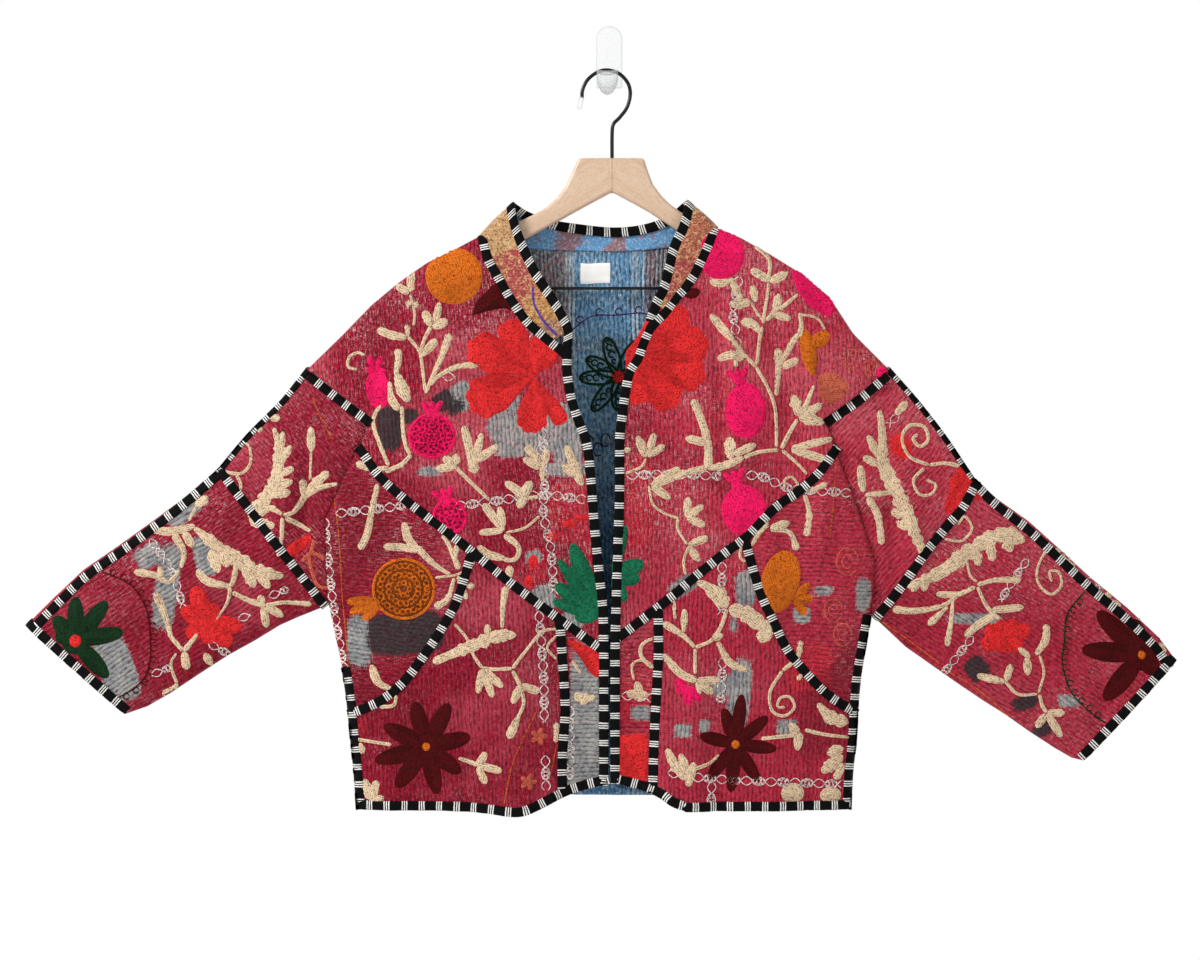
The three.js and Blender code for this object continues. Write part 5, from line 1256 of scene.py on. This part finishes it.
LEFT_SLEEVE_LEAVES = [
    (6, 13, 289, -382, 292, -413, 290, -436), (14, 15, 289, -431, 299, -454, 311, -475),
    (15, 13, 308, -472, 319, -496, 327, -517), (12, 8, 325, -514, 332, -527, 333, -537),
    (7, 11, 276, -409, 288, -431), (8, 9, 271, -432, 288, -441), (9, 11, 301, -491, 316, -493),
    (8, 10, 307, -501, 320, -509), (6, 6, 273, -473, 305, -470), (8, 8, 276, -475, 287, -496, 291, -526),
    (8, 8, 319, -373, 306, -387), (9, 8, 268, -441, 271, -470), (5, 4, 375, -442, 359, -439, 342, -441),
    (4, 4, 342, -441, 321, -432, 313, -413, 321, -399, 337, -400, 341, -414, 332, -421, 325, -413, 330, -408),
    (4, 3, 337, -444, 325, -457, 331, -472, 344, -472, 349, -462, 339, -457),
    (9, 14, 318, -571, 341, -562, 364, -550), (14, 15, 359, -553, 377, -539, 393, -527),
    (15, 14, 390, -529, 413, -517, 438, -514), (8, 9, 336, -576, 337, -562), (8, 8, 323, -576, 329, -567),
    (9, 11, 395, -549, 391, -529), (9, 10, 410, -544, 407, -524), (9, 12, 430, -534, 424, -519),
    (9, 11, 445, -522, 429, -517), (3, 3, 382, -540, 385, -558, 393, -566),
    (5, 8, 393, -569, 413, -564, 440, -564), (5, 8, 391, -571, 372, -579, 349, -579),
    (4, 9, 372, -581, 354, -592, 325, -597, 303, -595), (4, 9, 362, -592, 341, -612),
    (3, 8, 367, -584, 365, -610, 361, -635), (4, 5, 393, -571, 403, -592, 417, -606),
    (8, 8, 408, -596, 443, -593), (9, 8, 413, -600, 395, -611, 380, -624),
    (3, 3, 471, -527, 459, -548, 458, -566, 471, -579, 483, -570, 481, -556, 471, -555, 473, -566),
    (3, 3, 358, -520, 377, -522, 388, -509, 380, -496, 373, -505), (9, 7, 467, -611, 466, -628, 456, -644),
    (8, 8, 448, -666, 447, -646), (7, 6, 437, -636, 450, -647), (3, 3, 460, -644, 465, -664, 459, -685),
    (3, 4, 458, -686, 437, -686, 423, -672), (9, 7, 393, -666, 423, -673), (8, 8, 430, -654, 424, -672),
    (4, 5, 460, -686, 463, -698, 468, -706), (8, 7, 487, -706, 468, -706), (9, 8, 484, -732, 468, -707),
    (8, 8, 457, -722, 467, -707), (10, 8, 477, -531, 499, -549), (8, 8, 548, -592, 530, -587),
    (8, 6, 535, -576, 533, -589), (10, 9, 586, -633, 596, -641), (8, 6, 569, -607, 566, -602)]
sleeves = {side: new_work(sleeve_trees[side, "front"], -1) for side in ("right", "left")}
for side, leaves in (("right", RIGHT_SLEEVE_LEAVES), ("left", LEFT_SLEEVE_LEAVES)):
    for first, last, *places in leaves:
        strand(sleeves[side], pairs(places), first, last)
work = sleeves["right"]
flower(work, (-571, -629), [(-595, -603), (-571, -581), (-536, -586), (-519, -619), (-536, -669),
                            (-593, -621)],
       19, DARK_GREEN, RED, 7.5)
flower(work, (-428, -611), [(-444, -570), (-393, -614), (-405, -635), (-428, -633), (-453, -624),
                            (-458, -594), (-423, -588)], 21, RED)
fill(work, petal_outline((-350, -541), (-318, -517), 13), RED)
curly(work, [(-543, -555), (-513, -568), (-497, -589), (-492, -615), (-492, -654), (-503, -675),
             (-532, -694)], MAROON)
for line in ([(-492, -520), (-476, -541), (-465, -559)], [(-464, -564), (-455, -594)],
             [(-490, -666), (-469, -657)], [(-429, -631), (-404, -646)], [(-397, -606), (-383, -601)],
             [(-364, -582), (-343, -573)]):
    lattice(work, line, half=4.0)
for line in ([(-329, -544), (-319, -534), (-316, -520)], [(-297, -544), (-318, -534)],
             [(-323, -534), (-313, -568), (-295, -573)]):
    strand(work, line, 4, 4, RUST, height=0.6)
strand(work, [(-318, -367), (-309, -390), (-295, -415)], 1.1, 1.1, ORANGE, height=0.5)
work = sleeves["left"]
fill(work, round_outline((312, -421), 11, 15, 20), RED, height=0.4)
flower(work, (378, -462), [(379, -441), (365, -454), (364, -476), (393, -457), (402, -476), (361, -493)], 17,
       RED)
flower(work, (424, -627), [(397, -633), (401, -615), (416, -606), (434, -606), (450, -614), (441, -638),
                           (423, -642)], 20, RED)
flower(work, (569, -644), [(521, -597), (504, -638), (529, -693), (561, -605), (586, -664)], 22, MAROON,
       ORANGE, 5.5)
curly(work, [(509, -576), (489, -600), (486, -631), (484, -653), (494, -684), (515, -706), (531, -717)],
      DARK_GREEN)
for line in ([(448, -541), (434, -561), (417, -587)], [(389, -624), (372, -646), (358, -664)],
             [(310, -387), (297, -399)], [(603, -457), (608, -449)], [(512, -562), (528, -576)]):
    lattice(work, line, half=4.0)
for line in ([(290, -608), (320, -628), (354, -654)], [(354, -657), (393, -680), (430, -712)],
             [(281, -532), (282, -568), (276, -597)]):
    strand(work, line, 1.1, 1.1, ORANGE, height=0.5)
sleeve_stitches = {side: finish_work(sleeves[side], f"{side}_sleeve_embroidery", chain_stitch,
                                     "embroidery_thread")
                   for side in sleeves}

# Embroidery on the lining, seen through the neck: an open star flower, a thin vine and a few loops
TO_LINING = -1.9  # the net is the outer face, and the stitches lie on the inner one
inside = new_work(back_layer, -1, TO_LINING)
star = (10.4, -345.6)
for angle, reach in ((108, 44), (150, 40), (182, 42), (232, 46), (268, 36), (322, 40), (18, 40), (62, 44)):
    away = (math.cos(math.radians(angle)), math.sin(math.radians(angle)))
    tip = (star[0] + reach * away[0], star[1] + reach * away[1])
    outline = petal_outline(star, tip, 15)
    strand(inside, outline + [outline[0]], 3.0, 3.0, DARK_GREEN, height=1.5)
    for share, loop in ((0.40, 2.2), (0.58, 3.4), (0.76, 3.2), (0.90, 1.8)):
        middle = (star[0] + reach * share * away[0], star[1] + reach * share * away[1])
        strand(inside, round_outline(middle, loop, loop, count=9), 2.2, 2.2, DARK_GREEN, height=1.4)
fill(inside, round_outline(star, 9, 9), RED, height=1.5)
curly(inside, [(-46, -300), (-20, -281), (8, -279), (34, -277), (48, -281)], colour(70, 40, 92), loop=3.6,
      every=21)
for middle in ((-22, -416), (-12, -424), (-4, -414)):
    strand(inside, round_outline(middle, 5, 7, count=9), 1.6, 1.6, colour(40, 40, 70), height=0.9)
lining_stitches = finish_work(inside, "lining_embroidery", chain_stitch, "embroidery_thread")


# Embroidery of the back, like the front's: flowers, fruit and sprigs
def sprig(work, root, angle, length, buds):
    """A stem that leans one way and carries buds in pairs."""
    heading = math.radians(angle)
    places = [np.array(root, float)]
    for number in range(1, 5):
        heading += math.radians(9 if number % 2 else -5)
        places.append(places[-1] + np.array([math.cos(heading), math.sin(heading)]) * length / 4)
    strand(work, places, 4, 4)
    line, _ = soft_line(places, 2.0)
    for number in range(buds):
        at = line[int((0.3 + 0.66 * number / max(buds - 1, 1)) * (len(line) - 1))]
        lean = heading + math.radians(50 if number % 2 else -50)
        tip = at + np.array([math.cos(lean), math.sin(lean)]) * (17 + 3 * (number % 3))
        strand(work, [tip, (tip + at) / 2 + 1.0, at], 9, 6)
    tip = places[-1] + np.array([math.cos(heading), math.sin(heading)]) * 12
    strand(work, [tip, places[-1]], 9, 8)


def ring_of_tips(middle, reach, count, turn=0.0):
    reaches = [reach * (1 + 0.08 * math.sin(k * 2.1)) for k in range(count)]
    return [(middle[0] + far * math.cos(2 * math.pi * k / count + turn),
             middle[1] + far * math.sin(2 * math.pi * k / count + turn)) for k, far in enumerate(reaches)]


behind = new_work(back_layer, 1)
BACK_FLOWERS = [
    ((-150, -705), 58, 8, 20, MAROON, ORANGE), ((168, -690), 56, 8, 19, MAROON, ORANGE),
    ((12, -560), 58, 7, 30, RED, CREAM), ((-165, -410), 54, 7, 27, RED, ORANGE),
    ((160, -360), 50, 6, 24, GREEN, RED), ((-6, -290), 42, 6, 21, HOT_PINK, CREAM),
    ((52, -745), 38, 6, 18, GREEN, RED)]
BACK_FRUIT = [
    ((-82, -620), 27, 30, (-82, -578), HOT_PINK), ((96, -470), 27, 31, (98, -426), HOT_PINK),
    ((-236, -560), 27, 33, (-232, -514), ORANGE), ((204, -560), 29, 33, (204, -514), ORANGE),
    ((-78, -350), 27, 28, (-78, -310), ORANGE)]
for middle, reach, count, width, shade, heart in BACK_FLOWERS:
    flower(behind, middle, ring_of_tips(middle, reach, count, 0.3), width, shade, heart)
for middle, half, tall, crown, shade in BACK_FRUIT:
    pomegranate(behind, middle, half, tall, crown, shade)
chance = random.Random(11)
placed = [(np.array(flower_at[0]), flower_at[1] + 16) for flower_at in BACK_FLOWERS]
placed += [(np.array(fruit[0]), fruit[2] + 18) for fruit in BACK_FRUIT]
for _ in range(900):
    root = np.array([chance.uniform(-275, 250), chance.uniform(-785, -225)])
    lean, length = chance.uniform(0, 360), chance.uniform(58, 84)
    tip = root + length * np.array([math.cos(math.radians(lean)), math.sin(math.radians(lean))])
    middle = (root + tip) / 2
    limit = np.interp(-np.array([root[1], tip[1]]), [225, 330, 420, 800], [110, 235, 230, 235])
    clear_of_edge = (abs(np.array([root[0], tip[0]]) + 10) < limit).all() and -788 < tip[1] < -222
    spots = (root, middle, tip)
    if clear_of_edge and all(min(np.hypot(*(spot - at)) for spot in spots) > size for at, size in placed):
        sprig(behind, root, lean, length, 5)
        placed.append((middle, 42))
for line in ([(-280, -505), (-150, -498), (0, -506), (130, -500), (262, -508)],
             [(-120, -240), (-124, -400), (-118, -490)], [(-122, -520), (-118, -640), (-120, -780)],
             [(110, -520), (116, -600)], [(-260, -775), (-60, -780), (110, -778), (240, -774)]):
    lattice(behind, line)
back_stitches = finish_work(behind, "back_embroidery", chain_stitch, "embroidery_thread")

for side, turn in (("right", -1), ("left", 1)):
    work = new_work(sleeve_trees[side, "back"], 1)
    flower(work, (turn * 500, -640), ring_of_tips((turn * 500, -640), 36, 7, 0.2), 19, MAROON, ORANGE)
    flower(work, (turn * 345, -470), ring_of_tips((turn * 345, -470), 30, 6, 0.5), 18, RED, CREAM)
    pomegranate(work, (turn * 400, -590), 20, 23, (turn * 396, -556), HOT_PINK)
    for root, angle, length, buds in (((turn * 340, -560), 90 - turn * 40, 90, 5),
                                      ((turn * 440, -650), 90 - turn * 45, 60, 5),
                                      ((turn * 450, -540), 90 - turn * 140, 70, 4),
                                      ((turn * 550, -650), 90 - turn * 70, 50, 3),
                                      ((turn * 320, -400), 90 - turn * 130, 60, 3)):
        sprig(work, root, angle, length, buds)
    lattice(work, [(turn * 470, -530), (turn * 440, -600), (turn * 410, -650)], half=4.0)
    finish_work(work, f"{side}_sleeve_back_embroidery", chain_stitch, "embroidery_thread")


# Hanger: two arms of pale beech glued at the middle, 11 mm thick with rounded edges
def beech_material():
    material, tree, shader = new_material("varnished beech", Roughness=0.42, Coat_Weight=0.15,
                                          Coat_Roughness=0.3)
    x, y, z = split(position(tree))
    across = size_of(minus(x, 0.003))
    along = minus(times(across, 0.84), times(z, 0.54))
    upward = plus(times(across, 0.54), times(z, 0.84))
    rings, flecks = [
        grains(node(tree, "CombineXYZ", X=times(along, slow), Y=times(upward, fast),
                    Z=times(y, fast)).outputs[0],
               scale, detail, Distortion=stir)
        for slow, fast, scale, detail, stir in ((3.0, 60.0, 1.4, 4.0, 0.6), (160.0, 1500.0, 1.0, 2.0, 0.0))]
    base = blend(ramp(rings, 0.35, 0.68), colour(216, 188, 162), colour(206, 172, 144))
    base = over(base, ramp(flecks, 0.56, 0.70), 0.6, colour(166, 122, 92))
    base = over(base, rest_of(ramp(across, 0.0002, 0.0006)), 0.7, colour(150, 112, 78))
    feed(shader, Base_Color=base, Normal=bump(flecks, 0.12, 0.0002))
    return material


def thick_plate(name, outline, y, thick, toward, edge, segments, material):
    """An outline thickened toward the wall (1) or away from it (-1), with rounded edges."""
    mesh = new_mesh(name, [(x * MM, y * MM, z * MM) for x, z in outline], [list(range(len(outline)))])
    thing = new_object(name, mesh, material)
    shell = thing.modifiers.new("thickness", "SOLIDIFY")
    shell.thickness = thick * MM
    shell.offset = 1 if mesh.polygons[0].normal.y * toward > 0 else -1
    rounding = thing.modifiers.new("rounded edges", "BEVEL")
    rounding.width = edge * MM
    rounding.segments = segments
    return thing


WOOD_OUTLINE = [(-110, -186), (-100, -181), (-85, -174), (-68, -165), (-56, -154), (-47, -142), (-40, -127),
                (-33, -111.5), (37, -111.5), (42, -127), (47, -140), (56, -152), (65, -161), (76, -169),
                (92, -177),
                (111, -187.8), (140, -199.8), (172, -217.6), (205, -238), (212, -244), (219, -251),
                (224, -259),
                (222, -267), (206, -270), (186, -255), (74, -190), (40, -168), (3, -148), (-34, -168),
                (-94, -201),
                (-186, -258), (-206, -272), (-224, -268), (-229, -260), (-226, -251), (-219, -246),
                (-194, -226.5),
                (-164, -212), (-134, -196)]
WOOD_THICK = 11.0
wood = thick_plate("hanger_arms", WOOD_OUTLINE, MIDDLE - WOOD_THICK / 2, WOOD_THICK, 1, 3.6, 5,
                   beech_material())
wood.modifiers["rounded edges"].limit_method = "ANGLE"
wood.modifiers["rounded edges"].angle_limit = math.radians(50)
on_root(wood, "beech", "hanger_wood")


# Wire: the hook and the trouser bar, black lacquered steel; the hook's end wears a clear cap
def wire(name, points, radius, material, slot, stands_for):
    curve = bpy.data.curves.new(name, "CURVE")
    curve.dimensions = "3D"
    curve.bevel_depth = radius * MM
    curve.bevel_resolution = 10
    curve.use_fill_caps = True
    spline = curve.splines.new("POLY")
    fine, _ = soft_line(points, 1.2)
    spline.points.add(len(fine) - 1)
    for point, (x, z) in zip(spline.points, fine):
        point.co = (x * MM, MIDDLE * MM, z * MM, 1)
    thing = new_object(name, curve)
    bpy.ops.object.select_all(action="DESELECT")
    thing.select_set(True)
    bpy.context.view_layer.objects.active = thing
    bpy.ops.object.convert(target="MESH")
    thing = bpy.context.view_layer.objects.active
    thing.name = name
    thing.data.materials.append(material)
    thing.data.polygons.foreach_set("use_smooth", [True] * len(thing.data.polygons))
    on_root(thing, slot, stands_for)


black_wire, tree, shader = new_material("black lacquered wire", Base_Color=colour(22, 22, 24), Metallic=0.35,
                                        Roughness=0.28)
speckle = node(tree, "TexNoise", Scale=400.0, Detail=2.0).outputs[0]
feed(shader, Normal=bump(speckle, 0.1, 0.0002))
clear, tree, shader = new_material("clear plastic", IOR=1.46)
haze = node(tree, "TexNoise", Scale=90.0, Detail=3.0).outputs[0]
# Painted shade: the plastic turns dark grey and more opaque toward its edges as seen, where light bending
# through it would darken it.
rim = node(tree, "LayerWeight", Blend=0.35).outputs["Facing"]
feed(shader, Base_Color=blend(rim, (0.80, 0.82, 0.82, 1), (0.16, 0.17, 0.18, 1)),
     Roughness=ramp(haze, 0.1, 1.6),
     Alpha=plus(0.14, times(rim, 0.85)))
HOOK = [(-29.3, -46.5), (-28.6, -38), (-23, -27), (-12, -18.8), (-1, -17), (11, -21), (20, -31), (22.5, -43),
        (19, -57), (11, -68), (4.5, -75), (3, -86), (3, -118)]
wire("hook_wire", HOOK, 2.0, black_wire, "black_wire", "hanger_hook")
wire("hook_cap", [(-32.6, -58), (-31, -52.5), (-29.6, -45.5)], 2.6, clear, "clear_plastic", "hook_tip")
wire("bar_wire", [(-207, -251), (0, -251.2), (206, -251)], 1.6, black_wire, "black_wire", "trouser_bar")

# Wall hook: one moulding of clear plastic, a plate with a round top and a lip that curls up under the wire
round_top = [(14 * math.cos(t), 19 + 14 * math.sin(t)) for t in np.linspace(0, math.pi, 25)]
plate = thick_plate("hook_plate", [(-14, -34), (14, -34)] + round_top, 0, 4, -1, 1.8, 3, clear)
LIP = [(-4, -16), (-5.4, -15.4), (-9, -18.5), (-15, -22), (-20, -22.7), (-24, -22), (-26.5, -19.5),
       (-28, -18.6),
       (-29.3, -19.4), (-30, -22), (-29, -28), (-25, -34), (-17, -39), (-7, -41), (-4, -41.5)]
# Across the lip: x, and how much of its depth and of its height is left there
LIP_ACROSS = [(-13.5, 0.80, 0.30), (-13.2, 0.90, 0.45), (-12, 0.97, 0.62), (-9, 1.0, 0.84), (-5.5, 1.0, 0.96),
              (-2, 1.0, 1.0), (1.5, 1.0, 0.96), (5, 1.0, 0.84), (8, 0.97, 0.62), (9.2, 0.90, 0.45),
              (9.5, 0.80, 0.30)]
LIP_HEART = -17
places = [(x * MM, (LIP_HEART + (y - LIP_HEART) * pull) * MM, (LIP_HEART + (z - LIP_HEART) * reach) * MM)
          for x, pull, reach in LIP_ACROSS for y, z in LIP]
count, last_row = len(LIP), len(LIP) * (len(LIP_ACROSS) - 1)
faces = [[j + i, j + (i + 1) % count, j + count + (i + 1) % count, j + count + i]
         for j in range(0, last_row, count) for i in range(count)]
faces += [list(range(count)), list(range(last_row, last_row + count))[::-1]]
lip = new_object("hook_lip", new_mesh("hook_lip", places, faces, smooth=True), clear)
for thing in (plate, lip):
    on_root(thing, "clear_plastic", "wall_hook")

# Each piece of cloth, with the size it was cut, is gone through, but nothing is done with it
for name, (piece, cut, area) in sheets.items():
    if name in ("upper_front_right", "upper_front_left", "back", "collar"):
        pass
    elif name.startswith("lower_sleeve"):
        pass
    else:
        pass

# Camera square to the wall, 85 mm lens, and a soft white studio
camera_data = bpy.data.cameras.new("camera")
camera_data.lens = 85
camera = new_object("camera", camera_data)
camera.location = (-0.010, -3.062, -0.457)
camera.rotation_euler = (math.radians(90), 0, 0)
bpy.context.scene.camera = camera

world = bpy.data.worlds.new("white studio")
bpy.context.scene.world = world
world.use_nodes = True
feed(world.node_tree.nodes["Background"], Color=(1, 1, 1, 1), Strength=0.52)

for name, place, target, size, power in (("key", (-2.1, -1.3, 1.0), (0, 0, -0.45), 0.8, 66),
                                         ("fill", (1.9, -2.0, 0.1), (0, 0, -0.5), 1.6, 12)):
    lamp = bpy.data.lights.new(name, "AREA")
    lamp.shape = "RECTANGLE"
    lamp.size = lamp.size_y = size
    lamp.energy = power
    thing = new_object(name, lamp)
    thing.location = place
    thing.rotation_euler = (Vector(target) - Vector(place)).to_track_quat("-Z", "Y").to_euler()

backdrop_material, tree, shader = new_material("white backdrop", Base_Color=(0.96, 0.96, 0.96, 1),
                                               Roughness=1.0)
glow = node(tree, "Emission", Color=(1, 1, 1, 1), Strength=1.0).outputs[0]
see_through = node(tree, "BsdfTransparent").outputs[0]
behind_it = node(tree, "NewGeometry").outputs["Backfacing"]
one_sided = node(tree, "MixShader", Fac=behind_it, i1=glow, i2=see_through).outputs[0]
feed(tree.nodes["Material Output"], Surface=one_sided)
floor_material = new_material("pale floor", Base_Color=(0.86, 0.86, 0.85, 1), Roughness=0.8)[0]
wall_places = [(-6, 1.2, -1.3), (6, 1.2, -1.3), (6, 1.2, 3), (-6, 1.2, 3)]
floor_places = [(-6, -6, -1.3), (6, -6, -1.3), (6, 6, -1.3), (-6, 6, -1.3)]
backdrop = new_object("backdrop", new_mesh("backdrop", wall_places, [(0, 1, 2, 3)]), backdrop_material)
floor = new_object("floor", new_mesh("floor", floor_places, [(0, 1, 2, 3)]), floor_material)
bpy.context.scene.view_settings.view_transform = "Standard"
